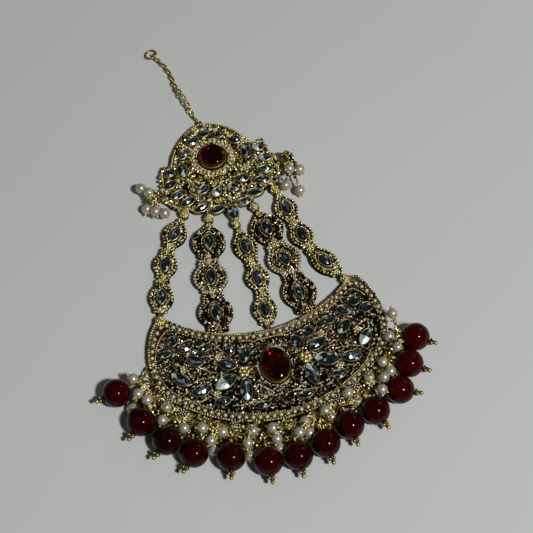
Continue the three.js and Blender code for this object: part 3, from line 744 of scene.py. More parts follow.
def finish_material(name):
    """The material for that finish, made the first time it is asked for."""
    kind, name = name, f"jhoomar_{name}"
    made = bpy.data.materials.get(name)
    if made:
        return made
    c = bpy.context.scene.jhoomar_colours
    pale = (c.gold, c.gold_patina_and_shade, c.glint)
    aged = (c.antique, c.antique_patina_and_shade)
    # Metals: bright, patina-and-shade (patina plus painted shade) and glint (painted highlight)
    # colours, low and high in millimetres, spread, polish.
    metals = {
        "gold": (*pale, 1.0, 3.2, 0.8, 0.34),
        "gold_granule": (*pale, 1.2, 2.8, 2.3, 0.34),
        "gold_wire": (*pale, -2.0, 2.0, 0.6, 0.28),
        "setting": (c.setting, c.gold_patina_and_shade, c.glint, 1.6, 3.2, 0.8, 0.3),
        "amber_granule": (c.amber, c.amber_patina_and_shade, c.glint, 1.0, 4.0, 1.8, 0.32),
        "antique": (*aged, c.gold, 1.4, 3.0, 0.6, 0.4),
        "antique_granule": (*aged, c.pale_glint, 1.4, 2.8, 2.6, 0.34),
        "copper_granule": (*aged, c.copper_glint, 1.4, 2.9, 2.6, 0.34),
    }
    if kind in metals:
        return metal(name, *metals[kind])
    coat = {"Coat_Weight": 1.0, "Coat_Roughness": 0.24}
    makers = {
        "pearl": lambda: lustrous(name, c.pearl, c.pearl_blush, 500.0, 0.34, Metallic=0.4,
                                  Coat_IOR=1.6, **coat),
        "half_pearl": lambda: lustrous(name, c.half_pearl, c.half_pearl_deep, 900.0, 0.34,
                                       Metallic=0.3, **coat),
        "crystal": lambda: foil(name, c.crystal_dark, c.crystal_light, Metallic=0.5, IOR=1.3,
                                Coat_Weight=0.5, Coat_Roughness=0.02, Coat_IOR=1.4),
        # The red beads take painted sparkles.
        "red_bead": lambda: lustrous(name, c.red_bead, c.red_bead_deep, 260.0, 0.03, 0.85, 1.0,
                                     IOR=1.22),
        "red_glass": lambda: glass(name, c.red_glass, Roughness=0.01, IOR=1.54),
        "red_foil": lambda: foil(name, c.red_foil_dark, c.red_foil_light, Metallic=1.0),
        "floor": lambda: lustrous(name, c.floor, [0.97 * part for part in c.floor], 14.0, 0.75),
    }
    return makers[kind]()


# ---- Shared parts -----------------------------------------------------------------------------

def stack(work, profile, outline_at, finish, wrap=False, tone=0.5):
    """Lofts the outlines that a profile of inset (or outset) and height asks for."""
    loft(work, [at_height(outline_at(step), height) for step, height in profile], finish, wrap,
         tone=tone)


def collet(work, row, low, high, wall, finish, lip=1.1):
    """The thin wall round a small stone, closed on itself, with a rounded lip."""
    x, y, long, wide, turn = row
    profile = ((2 * wall, low), (2 * wall, high - 0.12), (1.8 * wall, high),
               ((lip + 0.3) * wall, high), (lip * wall, high - 0.1), (lip * wall, low))
    stack(work, profile,
          lambda out: turned(marquise(long + 1.35 * out, wide + out), turn) + (x, y),
          finish, True, 0.75)


def crystal(work, row, seat, top, draw, grow=1.0, tip=0.1, bright=0):
    """A faceted marquise stone with a keel, sitting a little off level; its facets carry the foil's
    painted shade and painted flashes.
    """
    x, y, long, wide, turn = row
    long, wide = long + 0.55 * grow, wide + 0.42 * grow
    lean = draw.normal(0, tip, 2)
    layers = []
    for scale_long, scale_wide, rise in ((0.7, 0.7, 0.0), (1.0, 1.0, 0.45), (0.7, 0.56, 0.82),
                                         (0.46, 0.1, 1.0)):
        outline = marquise(long, wide, 6) * (scale_long, scale_wide)
        height = seat + (top - seat) * rise + outline @ lean
        layers.append(np.column_stack([turned(outline, turn) + (x, y), height]))
    layers = np.array(layers)
    corners = layers.shape[1]
    # Painted shade: each long side has a shade of its own, dark at the wall and lighter to the keel.
    sides = draw.permutation(draw.uniform((0.0, 0.1), (0.14, 0.42)))
    tones = np.outer((0.2, 0.6, 1.2), np.repeat(sides, corners // 2)).ravel()
    tones += draw.normal(0, 0.08, len(tones))
    # A few facets at random carry painted flashes.
    flashes = corners + draw.integers(0, 2 * corners, draw.integers(1, 5))
    tones[flashes] = draw.uniform(0.65, 1.0, len(flashes))
    # Listed stones get a painted flash on the facets at one end.
    run = np.arange(-bright, bright) % corners
    tones[corners + run] = 0.95
    tones[2 * corners + run] = 1.0
    loft(work, layers, "crystal", smooth=False, tone=np.clip(tones, 0, 1))


def bezel(work, centre, stone):
    """The raised wall round a large stone."""
    clearance, wall, top = 0.06, 0.2, SETTING["girdle"] + 0.35
    profile = ((clearance + wall, 1.2), (clearance + wall, top - 0.2),
               (clearance + 0.7 * wall, top), (clearance + 0.2 * wall, top),
               (clearance, top - 0.2), (clearance, 1.2))
    stack(work, profile,
          lambda out: ellipse(stone["width"] + 2 * out, stone["length"] + 2 * out, 56) + centre,
          "gold", True, 0.35)


def eye_plate(work, joint, finish):
    """A flat eye whose hole is at the joint."""
    hole, outer, half = EYE["hole"], EYE["outer"], EYE["thickness"] / 2
    rises = ((hole, -half), (outer - 0.1, -half), (outer, 0.1 - half), (outer, half - 0.1),
             (outer - 0.1, half), (hole, half))
    stack(work, [(radius, EYE["height"] + rise) for radius, rise in rises],
          lambda radius: ellipse(2 * radius, 2 * radius, 20) + np.asarray(joint)[:2], finish, True)


def jump_ring(work, joint, direction, finish, tone=0.6):
    """An upright ring that passes through the eye at the joint and reaches away from it."""
    direction = unit(direction)
    centre = np.array([joint[0], joint[1], EYE["height"]])
    centre[:2] += JUMP_RING["radius"] * direction
    ring(work, centre, (-direction[1], direction[0], 0), JUMP_RING["radius"], JUMP_RING["wire"],
         finish, 18, 8, tone)


def ring_foot(joint, direction):
    direction = unit(direction)
    reach = 2 * JUMP_RING["radius"]
    return np.array([joint[0] + reach * direction[0], joint[1] + reach * direction[1],
                     EYE["height"]])


def uneven_balls(work, places, radius, finish, draw, tone, spread):
    """Balls of nearly one size, lighter and darker about a tone."""
    tones = np.clip(draw.normal(tone, spread, len(places)), 0, 1)
    balls(work, places, radius * draw.uniform(0.9, 1.08, len(places)), finish, 1, tones)


def bead_row(work, path, pitch, radius, height, finish, draw, closed=True, spread=0.25):
    places, _ = spaced(path, pitch, closed)
    uneven_balls(work, at_height(places, height), radius, finish, draw, 0.7, spread)


def flower(work, centre, height, radius, finish, draw):
    """A ball with a ring of six balls round it."""
    turns = full_turn(6) + draw.uniform(0, 1)
    outline = np.stack([np.cos(turns), np.sin(turns)], axis=1) * radius * 1.9
    centre = np.asarray(centre, float)[:2]
    places = np.concatenate([at_height(outline + centre, height),
                             at_height([centre], height + 0.45 * radius)])
    balls(work, places, radius, finish, 1, draw.uniform(0.45, 1.0, len(places)))


def dotted_cap(work, centre, draw):
    """A dark dome set with rings of pale granules."""
    lathe(work, [(1.45, 1.8), (1.5, 2.5), (1.25, 2.9), (0.7, 3.15), (0.1, 3.2)],
          (*centre, 0), UP, "antique", 20, tone=-0.4)
    for count, radius, height in ((10, 1.3, 2.85), (6, 0.7, 3.15), (1, 0.0, 3.25)):
        places = at_height(ellipse(2 * radius, 2 * radius, count) + centre, height)
        balls(work, places, 0.25, "antique_granule", 1, draw.uniform(0.8, 1.0, count))


def granule_cap(work, centre, finish, draw, top=PLATE["collet_top"]):
    """A round boss that carries a cluster of granules."""
    radius = CAP_RADIUS
    lathe(work, [(radius - 0.15, 0.0), (radius, 0.15), (radius, top - 0.7), (radius - 0.3, top - 0.25),
                 (0.2, top - 0.05)], (centre[0], centre[1], 0), UP, finish, 20)
    flower(work, centre, top - 0.05, 0.34, finish, draw)
    turns = full_turn(12)
    outline = np.stack([np.cos(turns), np.sin(turns)], axis=1) * (radius - 0.02)
    balls(work, at_height(outline + np.asarray(centre)[:2], top - 0.6), 0.3, finish, 1,
          draw.uniform(0.3, 1.0, 12))


def granules(work, places, height, sizes, finish, draw, level=0, dark=0.5):
    """Scattered granules. A share of them is dark with age and painted shade; the others take higher
    tones, which carry painted glints.
    """
    count = len(places)
    radii = draw.uniform(sizes[0], sizes[1], count)
    heights = height + radii * draw.uniform(0.2, 0.9, count)
    tones = np.where(draw.uniform(0, 1, count) < dark, draw.uniform(0, 0.4, count),
                     draw.uniform(0.45, 1, count))
    balls(work, np.column_stack([places, heights]), radii, finish, level, tones,
          draw if level == 0 else None)


def strip_direction(joints, index):
    return unit(np.subtract(joints[index + 1], joints[index]))


def belly_eye(angle):
    """The joint of an eye on the crescent's outer edge. Angle 0 is straight down."""
    outline, _ = spaced(crescent_outline(), 0.25)
    outline = outline[np.hypot(outline[:, 0], outline[:, 1] - CRESCENT["belly_y"])
                      > CRESCENT["horn_reach"]]
    angles = np.arctan2(outline[:, 0], CRESCENT["belly_y"] - outline[:, 1])
    edge = outline[np.argmin(np.abs(angles - math.radians(angle)))]
    outward = unit(edge - (0, CRESCENT["belly_y"]))
    return edge + EYE["stand"] * outward, outward


def bead_angle(row):
    return math.degrees(math.atan2(row[0], CRESCENT["belly_y"] - row[1]))


def crown_top_eye():
    return crown_place(0, CROWN_TOP_EYE)


def crown_spray_eye(side):
    return crown_place(side * (CROWN_SPRAY_EYE[0] + EYE["stand"]), CROWN_SPRAY_EYE[1])


# ---- Crescent ---------------------------------------------------------------------------------

def build_crescent(sizes):
    draw = np.random.default_rng(11)
    stones = both_sides(CRESCENT_STONES)

    body = Work()
    stack(body, CRESCENT_EDGE, crescent_outline, "antique", tone=0.2)
    bezel(body, (0, 0), OVAL_STONE)
    for row in stones:
        collet(body, row, 1.2, PLATE["collet_top"], PLATE["collet_wall"], "setting")
    for angle in [*map(bead_angle, BEADS), *(spray[0] for spray in SPRAYS)]:
        eye_plate(body, belly_eye(angle)[0], "gold")
    for _, joints in STRIPS:
        jump_ring(body, joints[-1], strip_direction(joints, 2), "gold_wire")
    for _, joints in (STRIPS[0], STRIPS[-1]):
        inward = strip_direction(joints, 2)
        granule_cap(body, np.add(joints[-1], inward * (CAP_RADIUS + LINK["lead"])),
                    "gold_granule", draw)
    make_piece("crescent_body", body, "antique_gold", "crescent_plate")

    rows = Work()
    for inset, pitch, radius, height in ((0.34, 0.74, 0.3, 2.42), (2.38, 0.66, 0.26, 2.45)):
        bead_row(rows, crescent_outline(inset), pitch, radius, height, "gold_granule", draw,
                 spread=0.3)
    places, directions = spaced(crescent_outline(1.38), sizes.half_pearl_pitch / MM)
    middles = places + directions * sizes.half_pearl_pitch / MM / 2
    across = left_of(directions)
    for offset in (-0.5, 0.5):
        balls(rows, at_height(middles + offset * across, 2.3), 0.22, "gold_granule", 1,
              draw.uniform(0.2, 1.0, len(middles)))
    for start, pull, end in FIELD_WIRES:
        for side in (1, -1):
            path = curve([(side * x, y) for x, y in (start, pull, end)], 16)
            bead_row(rows, path, 0.5, 0.24, 2.3, "gold_granule", draw, False)
    for x, y, radius in FLOWERS:
        for side in (1, -1):
            flower(rows, (side * x, y), 2.35, radius, "gold_granule", draw)
    for place in EDGE_CAPS:
        dotted_cap(rows, place, draw)
    bead_row(rows, ellipse(OVAL_STONE["width"] + 1.5, OVAL_STONE["length"] + 1.5), 0.6, 0.27,
             2.25, "antique_granule", draw, spread=0.4)
    make_piece("crescent_bead_rows", rows, "gold")

    pearls = Work()
    balls(pearls, at_height(places, 2.35), sizes.half_pearl / MM / 2
          * draw.uniform(0.93, 1.05, len(places)), "half_pearl", 2,
          draw.uniform(0, 0.8, len(places)))
    make_piece("crescent_half_pearls", pearls, "pearl")

    field = Work()
    points = grid((-34, -15), (34, 21), sizes.granule_pitch / MM, draw)
    points = points[inside(points, crescent_outline(2.75))]
    points = points[~covered(points, stones, 0.55)]
    points = points[(points[:, 0] / 4.7) ** 2 + (points[:, 1] / 5.7) ** 2 > 1]
    granules(field, points, PLATE["top"] + 0.05, (0.21, 0.31), "antique_granule", draw, 0, 0.5)
    few = points[draw.uniform(0, 1, len(points)) < 0.16]
    granules(field, few, PLATE["top"] + 0.4, (0.25, 0.34), "antique_granule", draw, 1, 0.1)
    make_piece("crescent_granules", field, "antique_gold")

    crystals = Work()
    for row in stones:
        crystal(crystals, row, 2.2, 3.15, draw, bright=BRIGHT_STONES.get(row[:2], 0))
    make_piece("crescent_crystals", crystals, "crystal")


# ---- Large red stones -------------------------------------------------------------------------

def build_red_stone(name, node, centre, stone, seed, dullest):
    """A polished glass stone over a faceted red foil, its facets painted with flashes and shade by
    tone. Dullest is the foil's lowest tone.
    """
    draw = np.random.default_rng(seed)
    squash = (stone["width"] / 2, stone["length"] / 2)
    top, girdle, seat = stone["top"], SETTING["girdle"], SETTING["seat"]
    work = Work()
    lathe(work, [(0.8, seat + 0.12), (0.97, girdle - 0.25), (1.0, girdle), (0.985, girdle + 0.5),
                 (0.95, top - 0.6), (0.89, top - 0.28), (0.81, top - 0.09), (0.73, top - 0.02),
                 (0.6, top), (0.1, top)],
          (*centre, 0), UP, "red_glass", 64, squash=squash)
    make_piece(name + "_glass", work, "red_glass", node)
    backing = Work()
    corners = 16
    rings = []
    for scale, height in ((0.1, seat - 0.35), (0.55, seat - 0.2), (0.88, seat - 0.02),
                          (0.88, seat + 0.02), (0.5, seat + 0.06), (0.1, seat + 0.08)):
        twist = 180 / corners if scale == 0.5 else 0
        outline = turned(ellipse(2 * scale, 2 * scale, corners), twist) * squash + centre
        rings.append(at_height(outline, height))
    # Each foil facet takes a random tone, from painted shade up to a painted flash.
    loft(backing, rings, "red_foil", smooth=False, tone=draw.uniform(dullest, 1, 5 * corners))
    make_piece(name + "_foil", backing, "red_glass")


# ---- Crown ------------------------------------------------------------------------------------

def to_crown(points):
    return turned(points, CROWN["turn"]) + (CROWN["x"], CROWN["y"])


def build_crown(sizes):
    draw = np.random.default_rng(23)
    rows = [*both_sides(CROWN_STONES), *CROWN_MIDDLE_STONES]
    stones = [crown_row(row) for row in rows]
    outline = crown_outline()

    body = Work()
    stack(body, CROWN_EDGE, lambda inset: to_crown(inset_outline(outline, inset)), "gold",
          tone=0.25)
    bezel(body, (CROWN["x"], CROWN["y"]), ROUND_STONE)
    for row in stones:
        collet(body, row, 1.2, PLATE["collet_top"], 1.25 * PLATE["collet_wall"], "setting", 0.6)
    for _, joints in STRIPS:
        back = -strip_direction(joints, 0)
        cap = np.add(joints[0], back * (CAP_RADIUS + LINK["tail"]))
        granule_cap(body, cap, "gold_granule", draw)
        sweep(body, [(*cap, 1.1), (*(cap + 4.4 * back), 1.1)], 0.85, "gold", 10)
        neck, _ = spaced([cap + 1.3 * back, cap + 4.4 * back], 0.55, False)
        for offset in (-0.5, 0.0, 0.5):
            side = offset * np.array([-back[1], back[0]])
            balls(body, at_height(neck + side, 2.05), 0.34, "gold_granule", 1,
                  draw.uniform(0.3, 1, len(neck)))
        eye_plate(body, joints[0], "gold")
    for joint in (crown_spray_eye(-1), crown_spray_eye(1), crown_top_eye()):
        eye_plate(body, joint, "gold")
    make_piece("crown_body", body, "gold", "crown_plate")

    beads = Work()
    bead_row(beads, to_crown(inset_outline(outline, 0.35)), 0.7, 0.33, 2.15, "gold_granule", draw)
    for across in (9.5, 12.6):
        bead_row(beads, to_crown(ellipse(across, across)), 0.6, 0.28, 2.3, "gold_granule", draw)
    # The dome's gallery: short ribs that stand across its edge.
    dome = outline[(outline[:, 1] > 1.2) & (np.abs(outline[:, 0]) < 12.2)]
    dome = dome[np.argsort(-dome[:, 0])]
    places, directions = spaced(dome, 0.78, False)
    inward = left_of(directions)
    for place, across in zip(places, inward):
        ends = to_crown(np.array([place + 0.8 * across, place + 2.5 * across]))
        sweep(beads, at_height(ends, 2.0) + [(0, 0, 0.1), (0, 0, 0.25)], 0.24, "gold_granule", 6,
              tone=draw.uniform(0.2, 1))
    bead_row(beads, to_crown(places + 2.75 * inward), 0.75, 0.36, 2.3, "gold_granule", draw, False)
    for centre in to_crown(CROWN_FLOWERS):
        flower(beads, centre, 2.35, 0.36, "gold_granule", draw)
    # Loose granules that break up the lower edge.
    edge, _ = spaced(outline, 0.42)
    edge = edge[edge[:, 1] < 1.4]
    edge = edge + draw.normal(0, 0.3, edge.shape)
    granules(beads, to_crown(edge), 1.9, (0.3, 0.5), "gold_granule", draw, 0, 0.2)
    make_piece("crown_bead_rows", beads, "gold")

    halo = Work()
    places, _ = spaced(ellipse(11.1, 11.1), 1.3)
    balls(halo, at_height(to_crown(places), 2.35), 0.52, "half_pearl", 2,
          draw.uniform(0, 0.5, len(places)))
    balls(halo, at_height(to_crown(CROWN_SEED_PEARLS), 2.5), 0.55, "half_pearl", 2, 0.2)
    make_piece("crown_pearls", halo, "pearl")

    field = Work()
    points = grid((-19, -18), (19, 13), sizes.granule_pitch / MM * 1.25, draw)
    points = points[inside(points, inset_outline(outline, 0.9))]
    points = points[np.hypot(points[:, 0], points[:, 1]) > 4.9]
    points = points[~covered(points, rows, 0.6)]
    granules(field, to_crown(points), PLATE["top"], (0.27, 0.4), "gold_granule", draw, 0, 0.14)
    few = points[draw.uniform(0, 1, len(points)) < 0.22]
    granules(field, to_crown(few), PLATE["top"] + 0.45, (0.3, 0.48), "gold_granule", draw, 1, 0.2)
    make_piece("crown_granules", field, "gold")

    crystals = Work()
    for row, placed in zip(rows, stones):
        crystal(crystals, placed, 2.2, 3.1, draw, 0.6, bright=BRIGHT_STONES.get(row[:2], 0))
    make_piece("crown_crystals", crystals, "crystal")


# ---- Strips -----------------------------------------------------------------------------------

def link_outline(length, width, pointedness, count=40):
    turns = full_turn(count)
    sine = np.sin(turns)
    across = np.sign(sine) * np.abs(sine) ** pointedness
    return np.stack([across * width / 2, -np.cos(turns) * length / 2], axis=1)


def link_cover(length, body_length, width, pointedness, waist, foot, tapered):
    """The upper plate of a link, which runs on over the rings at both of its ends."""
    along = np.linspace(-length / 2 - foot, length / 2, 37)
    shift = (length - body_length) / 2 - LINK["lead"]
    rise = np.clip(1 - ((along - shift) / (body_length / 2)) ** 2, 0, 1)
    top = np.clip((length / 2 - along) / 2.6, 0, 1)
    necks = np.full(len(along), waist / 2)
    if tapered:
        necks = np.where(along > 0, 0.45 + (waist / 2 - 0.45) * top ** 0.8, necks)
    half = np.maximum(width / 2 * rise ** (pointedness / 2), necks)
    half[[0, 1]] *= (0.8, 0.95)
    half[[-1, -2]] *= (0.8, 0.95)
    right = np.stack([half, along], axis=1)
    return np.concatenate([right, right[::-1] * (-1.0, 1.0)])


def side_row(work, outline, ends, pitch, radius, height, finish, draw, placed, spread):
    """A row of balls along the sides of a link's outline, left open at the link's two ends."""
    places, _ = spaced(outline, pitch)
    places = places[(places[:, 1] > ends[0]) & (places[:, 1] < ends[1])]
    uneven_balls(work, at_height(placed(places), height), radius, finish, draw, 0.72, spread)


def build_link(strip_number, link_number, kind, joints):
    """A link between two joints: plate, border of balls, granules and a marquise stone."""
    draw = np.random.default_rng(100 + 10 * strip_number + link_number)
    start, end = np.array(joints[link_number - 1]), np.array(joints[link_number])
    direction = unit(end - start)
    heading = math.degrees(math.atan2(direction[1], direction[0])) + 90
    length = np.linalg.norm(end - start)
    body_length = length - LINK["lead"] - LINK["tail"]
    middle = start + direction * (LINK["lead"] + body_length / 2)
    width, point = LINK_WIDTH[kind], LINK_POINT[kind]
    aged = kind == "wide" and link_number != 2
    pearled = kind == "wide" and link_number == 2
    granule = "copper_granule" if aged else "gold_granule"
    name = f"strip{strip_number}_link{link_number}"

    def placed(outline):
        return turned(outline, heading) + middle

    body = Work()
    top = LINK["top"]
    # The plates take a low tone, so they are dark between the balls: aged patina and painted shade.
    stack(body, LINK_EDGE, lambda inset: placed(
        link_outline(body_length - 2 * inset, width - 2 * inset, point)), "antique", tone=0.05)
    waist = LINK_WAIST[kind]
    foot = LINK_FOOT if link_number == 3 and kind == "wide" else 0.0
    cover = link_cover(length - 0.15, body_length, width, point, waist, foot, link_number == 1)
    hang = start + direction * length / 2

    def hung(outline):
        return turned(outline, heading) + hang

    # The cover plate is dark between its balls in the same way: patina and painted shade.
    stack(body, COVER_EDGE, lambda inset: hung(inset_outline(cover, inset)), "antique", tone=0.05)
    stone = (*middle, *LINK_STONE, heading + 90)
    collet(body, stone, 1.4, LINK["collet_top"], PLATE["collet_wall"], "setting", 0.3)
    jump_ring(body, start, direction, "gold_wire")
    eye_plate(body, end, "antique")
    ends = (0.3 - length / 2 - foot, length / 2 - (0.0 if link_number == 1 else 0.3))
    edge = inset_outline(cover, 0.32)
    radius, pitch = (0.33, 0.84) if aged else (0.38, 1.02)
    if not pearled:
        side_row(body, edge, ends, pitch, radius, top + 0.14, granule, draw, hung,
                 0.4 if aged else 0.2)
    side_row(body, inset_outline(cover, 1.15), (ends[0] + 0.6, ends[1] - 0.6), 0.7, 0.26,
             top + 0.08, granule, draw, hung, 0.4)
    halo = marquise(LINK_STONE[0] + 2.6, LINK_STONE[1] + 1.7, 14)
    bead_row(body, turned(halo, heading + 90) + middle, 0.55, 0.24, top + 0.2, granule, draw,
             spread=0.3)
    points = grid((-width / 2, -length / 2), (width / 2, length / 2), 0.64, draw)
    points = points[inside(points, inset_outline(cover, 0.4))]
    points = points[~covered(points, [(0, (length - body_length) / 2 - LINK["lead"],
                                       *LINK_STONE, 90)], 0.5)]
    granules(body, hung(points), top - 0.05, (0.22, 0.34), granule, draw, 0,
             0.78 if aged else 0.42)
    # The clusters over the ring at each end.
    for reach in (0.75, length - 0.75):
        flower(body, start + direction * reach, top + 0.3, 0.31, granule, draw)
    make_piece(f"{name}_body", body, "antique_gold" if aged else "gold", name)

    if kind == "wide":
        pearls = Work()
        if pearled:
            places, _ = spaced(edge, 1.0)
            places = hung(places[(places[:, 1] > ends[0]) & (places[:, 1] < ends[1])])
        else:
            places, _ = spaced(placed(link_outline(body_length - 1.5, width - 1.5, point)), 3.4)
        balls(pearls, at_height(places, top + 0.2), 0.45, "pearl", 2,
              draw.uniform(0, 0.35, len(places)))
        make_piece(f"{name}_pearls", pearls, "pearl")
    crystals = Work()
    crystal(crystals, stone, 2.1, 3.0, draw, 0.2)
    make_piece(f"{name}_crystal", crystals, "crystal")


# ---- Red beads and their pins -----------------------------------------------------------------

def build_bead(number, row):
    x, y, tip, painted_glow = row
    draw = np.random.default_rng(300 + number)
    centre = np.array([x, y, BEAD["radius"]])
    outward = np.array([math.cos(math.radians(tip)), math.sin(math.radians(tip)), 0.0])

    def beyond(distance):
        return centre + distance * outward

    bead = Work()
    mouth = math.asin(BEAD["bore"] / BEAD["radius"])
    turns = np.linspace(mouth, math.pi - mouth, 30)
    profile = [(BEAD["radius"] * math.sin(t), -BEAD["radius"] * math.cos(t)) for t in turns]
    # Painted light: a bead with more painted glow takes less of the deep red.
    lathe(bead, profile, centre, outward, "red_bead", 48, wrap=True, tone=1 - painted_glow)
    make_piece(f"bead_{number:02d}", bead, "red_bead", f"red_bead_{number:02d}")

    pin = Work()
    collar_start = BEAD["radius"] + PIN["clearance"]
    collar_end = collar_start + PIN["collar"]
    joint, _ = belly_eye(bead_angle(row))
    bend = beyond(-collar_end)
    direction = unit((bend - [*joint, 0])[:2])
    foot = ring_foot(joint, direction)
    jump_ring(pin, joint, direction, "gold_wire")
    sweep(pin, [bend, beyond(collar_end + 0.2)], PIN["wire"], "gold_wire", 10)
    path = curve([foot, foot + (0, 0, 1.2), bend - 0.8 * outward, bend], 12)
    sweep(pin, path, PIN["wire"] * 0.9, "gold_wire", 8)
    for step in (0.15, 0.5, 0.8):
        ring(pin, beyond(0.1 - collar_start - step), outward, 0.42, 0.17, "gold_wire", 16, 6,
             draw.uniform(0.4, 1))
    ring(pin, beyond(collar_start + 0.05), outward, 0.72, 0.26, "gold_wire", 20, 8, -0.3)
    first = unit(np.cross(outward, UP))
    second = np.cross(outward, first)
    for index, turn in enumerate(full_turn(8)):
        place = beyond(collar_start + 0.42) + 0.75 * (
            first * math.cos(turn) + second * math.sin(turn))
        balls(pin, place, 0.28, "gold_granule", 1, 0.8 if index % 2 else 0.3)
    ring(pin, beyond(collar_start + 0.75), outward, 0.5, 0.22, "gold_wire", 16, 6, -0.2)
    balls(pin, beyond(collar_end + PIN["ball"]), PIN["ball"], "gold_wire", 2, 0.4)
    # Seed beads threaded on the wire between the crescent and the red bead.
    for place, _ in zip(*spaced(path, 0.95, False)):
        place = place + draw.normal(0, 0.35, 3) * (1, 1, 0.6)
        place[2] = max(place[2], 0.55)
        balls(pin, place, draw.uniform(0.36, 0.48), "gold_granule", 1, draw.uniform(0.2, 1))
    make_piece(f"pin_{number:02d}", pin, "gold", f"head_pin_{number:02d}")


# ---- Pearl sprays -----------------------------------------------------------------------------

def build_spray(name, node, joint, outward, pearl_places, seed, filling=0):
    """Pearls wired to one hub, with seed beads and rings along the wires."""
    draw = np.random.default_rng(seed)
    outward = unit(outward)
    hub = np.array([joint[0] + SPRAY["hub_out"] * outward[0],
                    joint[1] + SPRAY["hub_out"] * outward[1], SPRAY["hub_height"]])
    foot = ring_foot(joint, outward)
    gold, pearls = Work(), Work()
    jump_ring(gold, joint, outward, "gold_wire")
    stem = curve([foot, foot + (0, 0, 1.5), hub], 10)
    sweep(gold, stem, SPRAY["wire"], "gold_wire", 8)
    flower(gold, hub, hub[2], 0.36, "gold_granule", draw)
    wires = [stem]
    for place in map(np.array, pearl_places):
        along = unit(place - hub)
        sweep(gold, [hub, place - along * PEARL_RADIUS, place + along * (PEARL_RADIUS + 0.2)],
              SPRAY["wire"], "gold_wire", 8)
        wires.append(np.array([hub, place - along * PEARL_RADIUS]))
        for reach, radius in ((-PEARL_RADIUS * 0.93, 0.42), (PEARL_RADIUS * 0.95, 0.4)):
            ring(gold, place + reach * along, along, radius, 0.16, "gold_wire", 16, 6,
                 draw.uniform(0.5, 1))
        balls(gold, place + along * (PEARL_RADIUS + 0.32), 0.34, "gold_wire", 1, 0.9)
        balls(pearls, place, PEARL_RADIUS, "pearl", 3, draw.uniform(0, 1))
        if tuple(place[:2]) in CAPPED_PEARLS:
            crest = place + (0, 0, PEARL_RADIUS - 0.1)
            ring(gold, crest, UP, 0.5, 0.17, "gold_wire", 16, 6, 0.8)
            balls(gold, crest, 0.26, "gold_granule", 1, 0.1)
    for wire in wires:
        for place, _ in zip(*spaced(wire, 0.8, False)):
            places = place + draw.normal(0, 0.42, (2, 3))
            places[:, 2] = np.maximum(places[:, 2], 0.55)
            balls(gold, places, draw.uniform(0.3, 0.48, 2), "gold_granule", 1,
                  draw.uniform(0.1, 1, 2))
    if filling:
        spots = unit_rows(draw.normal(0, 1, (filling, 3))) * draw.uniform(0.5, 1, (filling, 1))
        spots = hub - (*outward, 0.4) + spots * (1.9, 2.3, 1.3)
        spots[:, 2] = np.clip(spots[:, 2], 0.6, hub[2] + 1.0)
        balls(gold, spots, draw.uniform(0.3, 0.5, filling), "amber_granule", 1,
              draw.uniform(0.1, 1, filling))
    make_piece(f"{name}_gold", gold, "gold")
    make_piece(f"{name}_pearls", pearls, "pearl", node)


def build_fringe_clusters():
    """Granule clusters and loops of wire wired along the crescent's outer edge."""
    draw = np.random.default_rng(77)
    clusters, loops = Work(), Work()
    for angle in np.arange(-57.0, 53.0, 1.9):
        joint, outward = belly_eye(angle + draw.uniform(-0.8, 0.8))
        side = np.array([-outward[1], outward[0]])
        for reach in (0.5, 1.4, 2.3, 3.2, 4.1, 5.0, 5.9):
            middle = joint + outward * (reach + draw.uniform(-0.4, 0.5)) + side * draw.normal(0, 0.5)
            height = 2.3 - 0.2 * reach + draw.uniform(-0.5, 1.0) * min(1.0, 0.3 * reach)
            count = draw.integers(9, 14)
            spread = unit_rows(draw.normal(0, 1, (count, 3))) * (0.8, 0.8, 0.55)
            finish = "amber_granule" if draw.uniform() < 0.38 else "gold_granule"
            places = np.array([*middle, height]) + spread
            places[:, 2] = np.maximum(places[:, 2], 0.5)
            balls(clusters, places, draw.uniform(0.28, 0.46, count), finish, 0,
                  draw.beta(0.9, 0.9, count), draw)
        if draw.uniform() < 0.6:
            middle = np.array([*(joint + outward * draw.uniform(0.9, 3.8)), draw.uniform(2.6, 4.0)])
            ring(loops, middle, draw.normal(0, 0.5, 3) + UP, draw.uniform(0.9, 1.7), 0.17,
                 "gold_wire", 20, 6, 0.9)
    make_piece("fringe_clusters", clusters, "gold")
    make_piece("fringe_loops", loops, "gold")


# ---- Chain ------------------------------------------------------------------------------------

def smooth_route(points, per_span=12):
    """A Catmull-Rom curve through the points."""
    points = np.asarray(points, float)
    padded = np.concatenate([[2 * points[0] - points[1]], points, [2 * points[-1] - points[-2]]])
    route = []
    for p0, p1, p2, p3 in zip(padded, padded[1:], padded[2:], padded[3:]):
        for t in np.linspace(0, 1, per_span, endpoint=False):
            route.append(0.5 * (2 * p1 + (p2 - p0) * t + (2 * p0 - 5 * p1 + 4 * p2 - p3) * t * t
                                + (3 * p1 - p0 - 3 * p2 + p3) * t ** 3))
    return np.array([*route, points[-1]])


